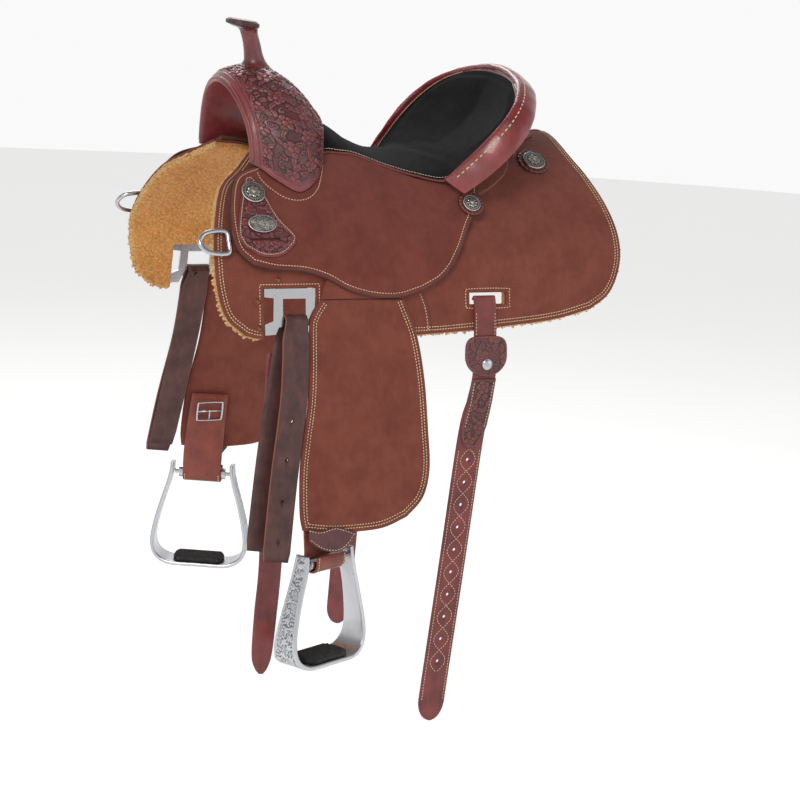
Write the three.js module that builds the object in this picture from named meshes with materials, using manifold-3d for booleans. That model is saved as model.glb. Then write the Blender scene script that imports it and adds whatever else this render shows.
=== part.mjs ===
// A western barrel-racing saddle as separate pieces, in millimetres, +Z up.
// +X points to the cantle, -Y to the horse's near (left) side, and the origin lies on the
// horse's back, under the middle of the skirts.
import * as THREE from "three";
import { mergeVertices } from "three/addons/utils/BufferGeometryUtils.js";
import Module from "manifold-3d";

const wasm = await Module();
wasm.setup();

// ---- Driving dimensions ----
const RIDGE_Z = 90; // top of the skirts' arch over the horse's back
const FLANK_Y = 212; // where the arch runs out into the flat flank
const FLANK_Z = -92;
const FLANK_ANGLE = 80; // slope of the flank, degrees from level
const RIDGE_PULL = 84.5; // length of the arch's upper handle
const FLANK_PULL = 49; // length of the arch's lower handle
const SKIRT_T = 5;
const FLEECE_T = 10.5;
const BAR_T = 8;
const JOCKEY_T = 4.2;
const FENDER_T = 4.5;
const STRAP_T = 4;
const STRAP_W = 45; // a 1 3/4 inch strap
const PIECE_GAP = 0.35;
const SEAT_PAD_T = 12;
const HORN_TOP_Z = 261;
const STIRRUP_TURN = 27; // turn of the stirrups out of the fore-and-aft line, degrees
const BOLT_X = -164;
const BOLT_Y = 283;
const BOLT_Z = -540;
const NEAR = -1;
const OFF = 1;

// ---- Colours and finishes ----
const LEATHER = {
  roughout: [0x78412f, 0.95],
  tooled: [0x6e2830, 0.4],
  binding: [0x8c2d2d, 0.25],
  latigo: [0x553737, 0.6],
  strap: [0x6a2c2c, 0.5],
  suede: [0x1c1b1c, 1.0],
  fleece: [0xd8b878, 1.0],
  wood: [0xb09060, 0.8],
  rubber: [0x202020, 0.9],
};
const METAL = {
  steel: [0xd0d0d0, 0.15],
  silver: [0xa8a49c, 0.4],
  aluminium: [0xc4c6ca, 0.3],
};

const group = new THREE.Group();
group.name = "western_saddle";

function material(kind) {
  const [color, roughness] = LEATHER[kind] ?? METAL[kind];
  return new THREE.MeshStandardMaterial({ color, roughness, metalness: kind in METAL ? 1 : 0 });
}

function add(name, geometry, kind) {
  const mesh = new THREE.Mesh(geometry, material(kind));
  mesh.name = name;
  group.add(mesh);
}

function sideName(name, side) {
  return name + (side === NEAR ? "_near" : "_off");
}

// ---- Meshes from points ----
const v3 = (x, y, z) => new THREE.Vector3(x, y, z);

function signedVolume(points, faces) {
  const volume = (sum, [a, b, c]) =>
    sum + points[a].dot(new THREE.Vector3().crossVectors(points[b], points[c]));
  return faces.reduce(volume, 0) / 6;
}

// A closed geometry from points and triangles, turned so that its faces point out.
function closedGeometry(points, faces) {
  const turned = signedVolume(points, faces) < 0;
  const index = faces.flatMap(([a, b, c]) => (turned ? [a, c, b] : [a, b, c]));
  const geometry = new THREE.BufferGeometry();
  geometry.setAttribute(
    "position",
    new THREE.Float32BufferAttribute(points.flatMap((p) => [p.x, p.y, p.z]), 3),
  );
  geometry.setIndex(index);
  return geometry;
}

// Triangles that close a ring of points, cut in the plane that fits the ring best.
function capFaces(points, ring) {
  const normal = v3(0, 0, 0);
  ring.forEach((k, i) => {
    const next = points[ring[(i + 1) % ring.length]];
    normal.add(new THREE.Vector3().crossVectors(points[k], next));
  });
  normal.normalize();
  const across = Math.abs(normal.z) < 0.9 ? v3(0, 0, 1) : v3(1, 0, 0);
  const e1 = new THREE.Vector3().crossVectors(across, normal).normalize();
  const e2 = new THREE.Vector3().crossVectors(normal, e1);
  const flat = ring.map((k) => new THREE.Vector2(points[k].dot(e1), points[k].dot(e2)));
  return THREE.ShapeUtils.triangulateShape(flat, []).map((t) => t.map((i) => ring[i]));
}

// A body through closed rings of equal length, with its first and last rings capped.
function loft(rings) {
  const n = rings[0].length;
  const points = rings.flat();
  const faces = [];
  for (let i = 0; i + 1 < rings.length; i++) {
    for (let j = 0; j < n; j++) {
      const a = i * n + j;
      const b = i * n + ((j + 1) % n);
      faces.push([a, b, b + n], [a, b + n, a + n]);
    }
  }
  const first = [...Array(n).keys()];
  const last = first.map((k) => k + (rings.length - 1) * n);
  faces.push(...capFaces(points, first).map(([a, b, c]) => [a, c, b]));
  faces.push(...capFaces(points, last));
  return closedGeometry(points, faces);
}

// A sheet between two grids of points.
function sheetSolid(upper, lower) {
  const rows = upper.length;
  const cols = upper[0].length;
  const at = (layer, i, j) => layer * rows * cols + i * cols + j;
  const faces = [];
  for (let i = 0; i + 1 < rows; i++) {
    for (let j = 0; j + 1 < cols; j++) {
      faces.push([at(0, i, j), at(0, i + 1, j), at(0, i + 1, j + 1)]);
      faces.push([at(0, i, j), at(0, i + 1, j + 1), at(0, i, j + 1)]);
      faces.push([at(1, i, j), at(1, i + 1, j + 1), at(1, i + 1, j)]);
      faces.push([at(1, i, j), at(1, i, j + 1), at(1, i + 1, j + 1)]);
    }
  }
  const edge = [];
  for (let j = 0; j < cols - 1; j++) edge.push([0, j]);
  for (let i = 0; i < rows - 1; i++) edge.push([i, cols - 1]);
  for (let j = cols - 1; j > 0; j--) edge.push([rows - 1, j]);
  for (let i = rows - 1; i > 0; i--) edge.push([i, 0]);
  edge.forEach(([i, j], k) => {
    const [p, q] = edge[(k + 1) % edge.length];
    faces.push([at(0, i, j), at(0, p, q), at(1, p, q)]);
    faces.push([at(0, i, j), at(1, p, q), at(1, i, j)]);
  });
  return closedGeometry([...upper.flat(), ...lower.flat()], faces);
}

// ---- Joining and cutting ----
function solid(geometry) {
  const bare = geometry.clone();
  bare.deleteAttribute("normal");
  bare.deleteAttribute("uv");
  const merged = mergeVertices(bare, 1e-3);
  return new wasm.Manifold(
    new wasm.Mesh({
      numProp: 3,
      vertProperties: merged.attributes.position.array,
      triVerts: new Uint32Array(merged.index.array),
    }),
  );
}

function geometryOf(manifold) {
  const mesh = manifold.getMesh();
  const geometry = new THREE.BufferGeometry();
  geometry.setAttribute("position", new THREE.BufferAttribute(mesh.vertProperties, 3));
  geometry.setIndex(new THREE.BufferAttribute(mesh.triVerts, 1));
  return geometry;
}

function cut(geometry, ...tools) {
  return geometryOf(tools.reduce((body, tool) => body.subtract(solid(tool)), solid(geometry)));
}

// ---- The arch that the skirts follow ----
// s runs down the arch from the ridge, n stands out from its surface.
const degrees = THREE.MathUtils.degToRad;
const flankDown = new THREE.Vector2(Math.cos(degrees(FLANK_ANGLE)), -Math.sin(degrees(FLANK_ANGLE)));
const archEnd = new THREE.Vector2(FLANK_Y, FLANK_Z);
const arch = new THREE.CubicBezierCurve(
  new THREE.Vector2(0, RIDGE_Z),
  new THREE.Vector2(RIDGE_PULL, RIDGE_Z + 2),
  archEnd.clone().addScaledVector(flankDown, -FLANK_PULL),
  archEnd,
);
const ARCH_LENGTH = arch.getLength();

function archAt(s) {
  if (s >= ARCH_LENGTH) {
    const point = archEnd.clone().addScaledVector(flankDown, s - ARCH_LENGTH);
    return { point, normal: new THREE.Vector2(-flankDown.y, flankDown.x) };
  }
  const u = Math.max(s, 0) / ARCH_LENGTH;
  const point = arch.getPointAt(u);
  const tangent = arch.getTangentAt(u);
  return { point, normal: new THREE.Vector2(-tangent.y, tangent.x) };
}

function bend(x, s, n, side) {
  const { point, normal } = archAt(Math.abs(s));
  const turn = side * Math.sign(s || 1);
  return v3(x, turn * (point.x + n * normal.x), point.y + n * normal.y);
}

// The distance down the arch of a height on the flank.
const downTo = (z) => ARCH_LENGTH + (FLANK_Z - z) / Math.sin(degrees(FLANK_ANGLE));

// ---- Leather sheets on the arch ----
function spline(points) {
  if (points.length === 2) return new THREE.LineCurve(...points.map((p) => new THREE.Vector2(...p)));
  return new THREE.SplineCurve(points.map((p) => new THREE.Vector2(...p)));
}

// A four-sided outline: front and rear run down, top and bottom run rearward.
function coons({ top, bottom, front, rear }) {
  const [t, b, f, r] = [top, bottom, front, rear].map(spline);
  const corner = (u, v) => (v ? b : t).getPointAt(u);
  return (u, v) => {
    const down = f.getPointAt(v).multiplyScalar(1 - u).addScaledVector(r.getPointAt(v), u);
    const across = t.getPointAt(u).multiplyScalar(1 - v).addScaledVector(b.getPointAt(u), v);
    const upper = corner(0, 0).multiplyScalar(1 - u).addScaledVector(corner(1, 0), u);
    const lower = corner(0, 1).multiplyScalar(1 - u).addScaledVector(corner(1, 1), u);
    return down.add(across).sub(upper.multiplyScalar(1 - v).addScaledVector(lower, v));
  };
}

function grid(cols, rows, place) {
  const line = (i) => [...Array(rows + 1).keys()].map((j) => place(i / cols, j / rows));
  return [...Array(cols + 1).keys()].map(line);
}

// A leather sheet with an outline, from depth to height above the arch.
function leatherSheet(outline, depth, height, side, cols, rows) {
  const flat = coons(outline);
  const layer = (n) =>
    grid(cols, rows, (u, v) => {
      const { x, y: s } = flat(u, v);
      return bend(x, s, typeof n === "function" ? n(s) : n, side);
    });
  return sheetSolid(layer(height), layer(depth));
}

// A straight-sided block on the flat flank, or a thin one anywhere on the arch.
function flankBlock([x0, x1], [s0, s1], [n0, n1], side) {
  const face = (n) => [
    [bend(x0, s0, n, side), bend(x0, s1, n, side)],
    [bend(x1, s0, n, side), bend(x1, s1, n, side)],
  ];
  return sheetSolid(face(n1), face(n0));
}

// ---- Skirts and fleece ----
const SKIRT_OUTLINE = {
  top: [
    [-243, 84], [-190, 94], [-120, 122], [0, 130], [110, 125],
    [165, 102], [205, 58], [242, 8], [302, 6],
  ],
  front: [[-243, 84], [-271, 119], [-307, 160], [-331, 237], [-336, 300], [-322, 366], [-289, 398]],
  bottom: [[-289, 398], [-240, 404], [0, 402], [135, 393], [230, 383.5], [296, 368]],
  rear: [[302, 6], [311, 81], [328, 136], [345, 195], [353, 250], [348, 305], [329, 345], [296, 368]],
};
const PLATE_WINDOW = { x: [-260, -175], s: [327, 420] };
const BILLET_SLOT = { x: [83, 146], s: [339, 357] };

const THROUGH = [-25, 8]; // from inside the fleece to outside the skirt

const windowTool = (side) => flankBlock(PLATE_WINDOW.x, PLATE_WINDOW.s, THROUGH, side);
const slotTool = (side) => flankBlock(BILLET_SLOT.x, BILLET_SLOT.s, THROUGH, side);

function skirt(side) {
  const body = leatherSheet(SKIRT_OUTLINE, -SKIRT_T, 0, side, 14, 11);
  return cut(body, windowTool(side), slotTool(side));
}

function fleece(side) {
  const top = -SKIRT_T - PIECE_GAP;
  const body = leatherSheet(SKIRT_OUTLINE, top - FLEECE_T, top, side, 14, 11);
  return cut(body, windowTool(side), slotTool(side));
}

// ---- The tree: bars, fork and cantle ----
const BAR_OUTLINE = {
  top: [[-228, 88], [-170, 98], [-100, 127], [-20, 142], [60, 144], [112, 130], [150, 108], [182, 84]],
  front: [[-228, 88], [-243, 130], [-228, 172]],
  bottom: [[-228, 172], [-100, 184], [40, 180], [160, 140]],
  rear: [[182, 84], [184, 112], [160, 140]],
};

const BAR_UNDER = 1.5; // the bars' height above the skirts

const treeBar = (side) => leatherSheet(BAR_OUTLINE, BAR_UNDER, BAR_T, side, 9, 3);

// Rings of the swell, each an arch over the horse's withers: x at the crown and at the foot,
// half width at the foot, and the heights of the foot and the crown.
const SWELL_RINGS = [
  [-262, -248, 113, 52, 160],
  [-266, -251, 124, 49.5, 168],
  [-259, -241, 132, 44, 179],
  [-238, -222, 146, 30, 187],
  [-205, -192, 161, 13, 190],
  [-175, -172, 158, 16, 179],
  [-147, -152, 146, 29, 159],
  [-122, -142, 134, 42, 132],
  [-107, -136, 122, 51, 112],
  [-122, -148, 112, 54, 97],
  [-180, -192, 110, 54, 146],
];
const COVER_T = 4;

function swellPoint([xCrown, xFoot, half, zFoot, zCrown], angle) {
  const sine = Math.sin(angle);
  const x = xCrown + (xFoot - xCrown) * sine * sine;
  return v3(x, half * sine, zFoot + (zCrown - zFoot) * Math.cos(angle));
}

// The swell's body moved in by a depth, from one foot to the other.
function swellBody(depth, reach, steps) {
  const count = SWELL_RINGS.length;
  const rings = [];
  for (let i = 0; i <= steps; i++) {
    const angle = degrees(-reach + (2 * reach * i) / steps);
    const points = SWELL_RINGS.map((ring) => swellPoint(ring, angle));
    const normalAt = (k) => {
      const along = points[(k + 1) % count].clone().sub(points[(k + count - 1) % count]);
      const over = swellPoint(SWELL_RINGS[k], angle + 0.02);
      over.sub(swellPoint(SWELL_RINGS[k], angle - 0.02));
      return along.cross(over).normalize();
    };
    rings.push(points.map((p, k) => p.clone().addScaledVector(normalAt(k), -depth)));
  }
  return loft(rings);
}

const swellCover = () => cut(swellBody(0, 90, 18), swellBody(COVER_T, 97, 14));
const treeFork = () => swellBody(COVER_T + 2, 88, 14);

// ---- Seat ----
// Each rib runs from the seat's centre line to its edge: centre x, z, then edge x, y, z.
const SEAT_RIBS = [
  [-97, 101, -121, 100, 66],
  [-76, 91, -102, 103, 65],
  [-49, 75, -76, 106, 63],
  [-5, 59, -32, 125, 48],
  [45, 56, 15, 143, 35],
  [90, 60, 60, 157, 29],
  [126, 72, 87, 171, 54],
  [156, 94, 119, 182, 90],
  [181, 124, 152, 178, 126],
  [194, 157, 179, 147, 156],
  [204, 187, 199, 87, 177],
];
const SEAT_BACK_ROW = 5; // the first rib of the cantle's dish
const DISH_LEAN = degrees(42); // how far the dish's back leans from level
const SEAT_THINNING = 7; // how much thinner the pad is at its edge
const SEAT_INSET = 0.02; // share of each rib left free beside the binding
const GROUND_T = 4;
const CANTLE_T = 9;

function seatRib([cx, cz, ex, ey, ez]) {
  return new THREE.QuadraticBezierCurve3(
    v3(cx, 0, cz),
    v3((cx + ex) / 2, ey * 0.62, cz),
    v3(ex, ey, ez),
  );
}

// The seat's surface, sunk by a depth that turns from straight down to the dish's back.
function seatGrid(ribs, sink, inset, first = 0) {
  const edge = 1 - inset;
  return ribs.map((rib, i) => {
    const curve = seatRib(rib);
    const turn = DISH_LEAN * THREE.MathUtils.clamp((i + first - 3) / 3, 0, 1);
    const points = [];
    for (let j = -6; j <= 6; j++) {
      const p = curve.getPoint((Math.abs(j) / 6) * edge);
      const fall = typeof sink === "function" ? sink(Math.abs(j) / 6) : sink;
      p.y *= Math.sign(j);
      points.push(p.add(v3(Math.sin(turn) * fall, 0, -Math.cos(turn) * fall)));
    }
    return points;
  });
}

function seatPad() {
  const under = (edge) => SEAT_PAD_T - SEAT_THINNING * edge * edge;
  return sheetSolid(seatGrid(SEAT_RIBS, 0, SEAT_INSET), seatGrid(SEAT_RIBS, under, SEAT_INSET));
}

function groundSeat() {
  const ribs = SEAT_RIBS.slice(1, SEAT_BACK_ROW + 1);
  const top = SEAT_PAD_T + PIECE_GAP;
  return sheetSolid(seatGrid(ribs, top, 0.45, 1), seatGrid(ribs, top + GROUND_T, 0.45, 1));
}

function treeCantle() {
  const first = SEAT_BACK_ROW + 2;
  const ribs = SEAT_RIBS.slice(first, -1);
  const top = SEAT_PAD_T + PIECE_GAP;
  return sheetSolid(seatGrid(ribs, top, 0.1, first), seatGrid(ribs, top + CANTLE_T, 0.1, first));
}

// ---- Cantle binding and back ----
// Points on the rim of the dish, and on the outer edge of the rolled binding beyond it.
const RIM = [
  [62, 161, 27], [87, 173, 54], [120, 184, 91], [153, 180, 127],
  [182, 150, 157], [205, 88, 179], [211, 0, 190],
];
const ROLL = [
  [82, 177, 12], [107, 193, 36], [141, 202, 70], [173, 196, 104],
  [203, 162, 138], [229, 95, 165], [236, 0, 177],
];
const ROLL_T = 14; // full thickness of the padded roll
const ROLL_LIFT = 1.5; // its middle's height above the rim

function mirrored(points) {
  const near = points.map(([x, y, z]) => v3(x, -y, z));
  const off = points.slice(0, -1).reverse().map(([x, y, z]) => v3(x, y, z));
  return new THREE.CatmullRomCurve3([...near, ...off], false, "centripetal");
}

function cantleBinding() {
  const rim = mirrored(RIM);
  const roll = mirrored(ROLL);
  const rings = [];
  const steps = 26;
  const sides = 10;
  for (let i = 0; i <= steps; i++) {
    const u = i / steps;
    const a = rim.getPoint(u);
    const b = roll.getPoint(u);
    const along = rim.getTangent(u);
    const width = b.clone().sub(a);
    const out = new THREE.Vector3().crossVectors(along, width).normalize();
    if (out.z < 0) out.negate();
    const taper = Math.min(1, 0.35 + 6 * Math.min(u, 1 - u));
    const centre = a.clone().addScaledVector(width, 0.56).addScaledVector(out, ROLL_LIFT);
    const ring = [];
    for (let k = 0; k < sides; k++) {
      const angle = (2 * Math.PI * k) / sides;
      const p = centre.clone().addScaledVector(width, 0.5 * Math.cos(angle));
      ring.push(p.addScaledVector(out, (ROLL_T / 2) * taper * Math.sin(angle)));
    }
    rings.push(ring);
  }
  return loft(rings);
}

// The leather behind the cantle, from under the roll down to the skirts.
const BACK_TOP = [[176, 172, 78], [192, 150, 112], [212, 90, 145], [221, 0, 158]];
const BACK_FOOT = [[178, 141, 30], [192, 118, 49], [212, 70, 80], [222, 0, 98]];
const COVER_LEATHER_T = 4; // leather of the cantle's back and of the rear jockey

function cantleBack() {
  const top = mirrored(BACK_TOP);
  const foot = mirrored(BACK_FOOT);
  const layer = (shift) =>
    grid(14, 4, (u, v) => top.getPoint(u).lerp(foot.getPoint(u), v).add(v3(shift, 0, 0)));
  return sheetSolid(layer(COVER_LEATHER_T), layer(0));
}

const REAR_JOCKEY = { x: 230, long: 34, half: 60, narrowing: 0.35 };

function rearJockey() {
  const { x, long, half, narrowing } = REAR_JOCKEY;
  const place = (n) => (u, v) => bend(x + long * u, half * (2 * v - 1) * (1 - narrowing * u), n, OFF);
  const layer = (n) => grid(3, 8, place(n));
  return sheetSolid(layer(COVER_LEATHER_T), layer(PIECE_GAP));
}

// ---- Seat jockeys ----
const JOCKEY_OUTLINE = {
  top: [
    [-241, 126], [-205, 128], [-160, 126], [-126, 119], [-80, 115],
    [-44, 130], [-5, 149], [32, 163], [75, 171], [118, 178],
  ],
  front: [[-241, 126], [-281, 147], [-300, 190], [-306, 235], [-301, 270], [-280, 290]],
  bottom: [
    [-280, 290], [-245, 297], [-197, 301], [-160, 312],
    [-125, 330], [-84, 341], [-42, 343], [0, 332],
  ],
  rear: [[118, 178], [106, 203], [85, 237], [64, 275], [35, 312], [0, 332]],
};

// The jockey lies on the bars above, and closer to the skirt below.
const JOCKEY_OVER_BAR = BAR_T + 0.8;
const JOCKEY_OVER_SKIRT = 7;
const [BAR_EDGE_S, JOCKEY_DOWN_S] = [185, 260];

function jockeyUnder(s) {
  const share = THREE.MathUtils.smoothstep(s, BAR_EDGE_S, JOCKEY_DOWN_S);
  return THREE.MathUtils.lerp(JOCKEY_OVER_BAR, JOCKEY_OVER_SKIRT, share);
}

const seatJockey = (side) =>
  leatherSheet(JOCKEY_OUTLINE, jockeyUnder, (s) => jockeyUnder(s) + JOCKEY_T, side, 14, 8);

const PATCH_OUTLINE = {
  top: [[-270, 151], [-258, 148]],
  front: [[-270, 151], [-284, 188], [-295, 225], [-299, 250], [-291, 268]],
  bottom: [[-291, 268], [-262, 281], [-232, 279], [-210, 264]],
  rear: [[-258, 148], [-243, 186], [-229, 222], [-207, 250], [-210, 264]],
};

const PATCH_TOP = JOCKEY_T + 3; // the patch's outer face above the jockey's under face

const keeperPatch = (side) =>
  leatherSheet(
    PATCH_OUTLINE,
    (s) => jockeyUnder(s) + JOCKEY_T + PIECE_GAP,
    (s) => jockeyUnder(s) + PATCH_TOP,
    side, 5, 6,
  );

// ---- Round ornaments ----
const DOME = [[0, 0], [1, 0], [1, 0.35], [0.86, 0.6], [0.45, 0.95], [0, 1]];

function button(radii, thickness, x, s, n, side) {
  const [rx, rz] = radii;
  const profile = DOME.map(([r, h]) => new THREE.Vector2(r, h * thickness));
  const geometry = new THREE.LatheGeometry(profile, 18);
  geometry.rotateX(Math.PI / 2);
  geometry.scale(rx, rz, 1);
  const centre = bend(x, s, n, side);
  const out = bend(x, s, n + 1, side).sub(centre);
  const down = bend(x, s + 1, n, side).sub(bend(x, s - 1, n, side)).normalize();
  const along = new THREE.Vector3().crossVectors(down, out).normalize();
  geometry.applyMatrix4(new THREE.Matrix4().makeBasis(along, down, out).setPosition(centre));
  return geometry;
}

// ---- Straps ----
// A flat strap through points, with its width across and its thickness square to its path.
function strap(path, widths, thickness, acrossAt = () => v3(1, 0, 0)) {
  const rings = path.map((p, i) => {
    const before = path[Math.max(i - 1, 0)];
    const after = path[Math.min(i + 1, path.length - 1)];
    const along = after.clone().sub(before).normalize();
    const wide = acrossAt(i);
    const across = wide.addScaledVector(along, -along.dot(wide)).normalize();
    const out = new THREE.Vector3().crossVectors(along, across);
    const corner = (w, t) => p.clone().addScaledVector(across, w).addScaledVector(out, t);
    const half = widths[i] / 2;
    const t = thickness / 2;
    return [corner(-half, -t), corner(half, -t), corner(half, t), corner(-half, t)];
  });
  return loft(rings);
}

// ---- Rigging plates and the straps on them ----
const SLOT = { x: [-229, -190], s: [343, 372] };
const PLATE_T = 4.5;
const BAR_S = 378; // middle of the plate's lower bar
const PLATE_N = -1.75;
const FOLD_R = 9.3;
const FOLD_W = 37; // the strap is skived narrower where it passes through the plate
const PLATE_OUTLINE = [
  [-259, 327.6], [-176, 327.6], [-176, 340], [-179.5, 384], [-236, 386], [-241, 397],
  [-258, 398], [-258.5, 382], [-243, 376], [-242, 342], [-259, 340],
];

function riggingPlate(side) {
  const shape = new THREE.Shape();
  shape.setFromPoints(PLATE_OUTLINE.map((p) => new THREE.Vector2(...p)));
  const [[x0, x1], [s0, s1]] = [SLOT.x, SLOT.s];
  const hole = [[x0, s0], [x0, s1], [x1, s1], [x1, s0]].map((p) => new THREE.Vector2(...p));
  shape.holes.push(new THREE.Path(hole));
  const geometry = new THREE.ExtrudeGeometry(shape, { depth: PLATE_T, bevelEnabled: false });
  const origin = bend(0, ARCH_LENGTH, PLATE_N - PLATE_T / 2, side);
  const out = bend(0, ARCH_LENGTH, 1, side).sub(bend(0, ARCH_LENGTH, 0, side));
  const down = v3(0, side * flankDown.x, flankDown.y);
  origin.addScaledVector(down, -ARCH_LENGTH);
  geometry.applyMatrix4(new THREE.Matrix4().makeBasis(v3(1, 0, 0), down, out).setPosition(origin));
  return reface(geometry);
}

// The same geometry with its faces turned out, whatever way a mirrored basis left them.
function reface(geometry) {
  const bare = geometry.clone();
  bare.deleteAttribute("normal");
  bare.deleteAttribute("uv");
  const merged = mergeVertices(bare, 1e-3);
  const { array } = merged.attributes.position;
  const points = [];
  for (let i = 0; i < array.length; i += 3) points.push(v3(array[i], array[i + 1], array[i + 2]));
  const faces = [];
  const index = merged.index.array;
  for (let i = 0; i < index.length; i += 3) faces.push([index[i], index[i + 1], index[i + 2]]);
  return closedGeometry(points, faces);
}

// A strap folded over the lower bar of the rigging plate: leafs are [x, z] down each side.
function foldedStrap(outer, inner, side) {
  const point = (x, s, n) => bend(x, s, n, side);
  const leaf = (list, n) => list.map(([x, z]) => point(x, downTo(z), n));
  const xFold = (SLOT.x[0] + SLOT.x[1]) / 2;
  const fold = [];
  const steps = 6;
  for (let i = 0; i <= steps; i++) {
    const angle = (Math.PI * i) / steps;
    fold.push(point(xFold, BAR_S - FOLD_R * Math.sin(angle), PLATE_N + FOLD_R * Math.cos(angle)));
  }
  const path = [...leaf(outer, PLATE_N + FOLD_R), ...fold, ...leaf(inner, PLATE_N - FOLD_R)];
  const folded = (i) => i >= outer.length - 1 && i <= outer.length + fold.length;
  return strap(path, path.map((_, i) => (folded(i) ? FOLD_W : STRAP_W)), STRAP_T);
}

const LATIGO_FRONT = [[-250, -535], [-235, -416], [-217, -300], [-212, -235], [-211, -196]];
const LATIGO_BACK = [[-216, -202], [-233, -290], [-251, -393], [-269, -520]];
const OFF_BILLET_FRONT = [[-245, -500], [-233, -400], [-217, -300], [-212, -235], [-211, -196]];
const OFF_BILLET_BACK = [[-214, -202], [-223, -300], [-246, -480]];

// The latigo's long end hangs plumb behind the strap: x, z and width down its length.
const LATIGO_END_Y = 217;
const LATIGO_END = [
  [-228, -226, 42], [-228, -380, 42], [-227, -555, 38], [-231, -640, 38],
  [-234, -705, 34], [-234, -728, 22], [-234, -738, 8],
];

function latigoEnd() {
  const path = LATIGO_END.map(([x, z]) => v3(x, -LATIGO_END_Y, z));
  return strap(path, LATIGO_END.map(([, , width]) => width), STRAP_T);
}

// ---- Flank billets ----
// The billet follows the skirt down to its lower edge, and then hangs almost plumb.
const BILLET_KNEE = { x: 107, y: 241.4, z: -272 };
const [ABOVE_KNEE, BELOW_KNEE] = [0.111, 0.0365]; // outward slopes
const LOOP_W = 38;

function billetY(z) {
  const slope = z > BILLET_KNEE.z ? ABOVE_KNEE : BELOW_KNEE;
  return BILLET_KNEE.y + (BILLET_KNEE.z - z) * slope;
}

// x, z and width down the billet. The near one swings forward, and the off one hangs plumber.
const BILLET_HANG = [
  [108, -166, LOOP_W], [108.5, -203, 39], [109, -241, 40], [107, -272, 40], [101, -310, 43],
  [89, -366, STRAP_W], [66, -575, STRAP_W], [44, -770, STRAP_W], [41, -800, 32], [39, -822, 6],
];
const OFF_LEAN = 0.2; // share of the near billet's forward lean

function billetX(x, z, side) {
  if (side === NEAR || z >= BILLET_KNEE.z) return x;
  return BILLET_KNEE.x + OFF_LEAN * (x - BILLET_KNEE.x);
}

function flankBillet(side) {
  const inSlot = [bend(BILLET_KNEE.x, 349, -3, side), bend(BILLET_KNEE.x, 346.5, 3, side)];
  const hang = BILLET_HANG.map(([x, z]) => v3(billetX(x, z, side), side * billetY(z), z));
  const widths = [LOOP_W, LOOP_W, ...BILLET_HANG.map(([, , width]) => width)];
  return strap([...inSlot, ...hang], widths, STRAP_T);
}

function discOnStrap(x, z, rx, rz, depth, height, side) {
  const steps = 16;
  const rim = (y) =>
    [...Array(steps).keys()].map((k) => {
      const angle = (2 * Math.PI * k) / steps;
      const dz = rz * Math.sin(angle);
      return v3(x + rx * Math.cos(angle), side * (billetY(z + dz) + y), z + dz);
    });
  return loft([rim(depth), rim(height)]);
}

const billetFlap = (side) => discOnStrap(109, -236, 36, 32, 2.6, 6.1, side);
const billetSnap = (side) => discOnStrap(110, -246, 9, 9, 6.5, 10, side);

// ---- Stirrup leathers and fenders ----
const FENDER_UNDER = 0.6; // the fender's clearance over the skirt
const FENDER_N = [FENDER_UNDER, FENDER_UNDER + FENDER_T];
const LEATHER_OUTLINE = {
  top: [[-150, 300], [-60, 306], [-29, 320]],
  front: [[-150, 300], [-160, 318], [-168, 345]],
  bottom: [[-168, 345], [-31, 345]],
  rear: [[-29, 320], [-30, 332], [-31, 345]],
};
const FENDER_OUTLINE = {
  top: [[-168.5, 346], [-31, 346]],
  front: [
    [-168.5, 346], [-181, 387], [-188, 448], [-192, 503],
    [-201, 560], [-207, 608], [-208, 670], [-204, 697],
  ],
  bottom: [[-204, 697], [-158, 703], [-117, 703], [-70, 699], [-30, 684]],
  rear: [[-31, 346], [-9, 402], [3, 471], [8, 547], [10, 611], [-2, 655], [-30, 684]],
};

const stirrupLeather = (side) => leatherSheet(LEATHER_OUTLINE, ...FENDER_N, side, 4, 2);
const fender = (side) => leatherSheet(FENDER_OUTLINE, ...FENDER_N, side, 8, 12);

// ---- Stirrups ----
// The stirrup's own frame: t along the tread, p outwards across it, z up from the bolt.
function stirrupFrame(side) {
  const turn = degrees(STIRRUP_TURN);
  const along = v3(Math.cos(turn), -side * Math.sin(turn), 0);
  const outward = v3(Math.sin(turn), side * Math.cos(turn), 0);
  const centre = v3(BOLT_X, side * BOLT_Y, BOLT_Z);
  const place = (t, p, z) =>
    centre.clone().addScaledVector(along, t).addScaledVector(outward, p).add(v3(0, 0, z));
  return { place, along };
}

// Half of the stirrup's band, from the tread's middle up to the bolt: t, z, depth.
const BAND = [
  [0, -158, 58], [40, -158, 58], [58, -155, 56], [72, -146, 52], [79, -132, 47], [80, -112, 42],
  [75, -85, 37], [66, -50, 32], [57, -20, 30], [52, 2, 28], [51, 16, 24],
];
const BAND_T = 7;
const TREAD_Z = [-153.6, -147, -144.5]; // the tread pad's under face, its low ends and its top
const [TREAD_END, TREAD_FULL] = [44, 37];
const BOLT_R = 4;
const ROLLER_R = 10;
const [ROLLER_END, BOLT_END] = [40, 47.5];

function stirrup(side) {
  const { place } = stirrupFrame(side);
  const front = BAND.slice(1).map(([t, z, d]) => [-t, z, d]).reverse();
  const path = [...front, ...BAND];
  const rings = path.map(([t, z, depth], i) => {
    const before = path[Math.max(i - 1, 0)];
    const after = path[Math.min(i + 1, path.length - 1)];
    const along = new THREE.Vector2(after[0] - before[0], after[1] - before[1]).normalize();
    const inward = new THREE.Vector2(-along.y, along.x).multiplyScalar(BAND_T / 2);
    const at = (sign, p) => place(t + sign * inward.x, p, z + sign * inward.y);
    return [at(-1, -depth / 2), at(-1, depth / 2), at(1, depth / 2), at(1, -depth / 2)];
  });
  return loft(rings);
}

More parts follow.
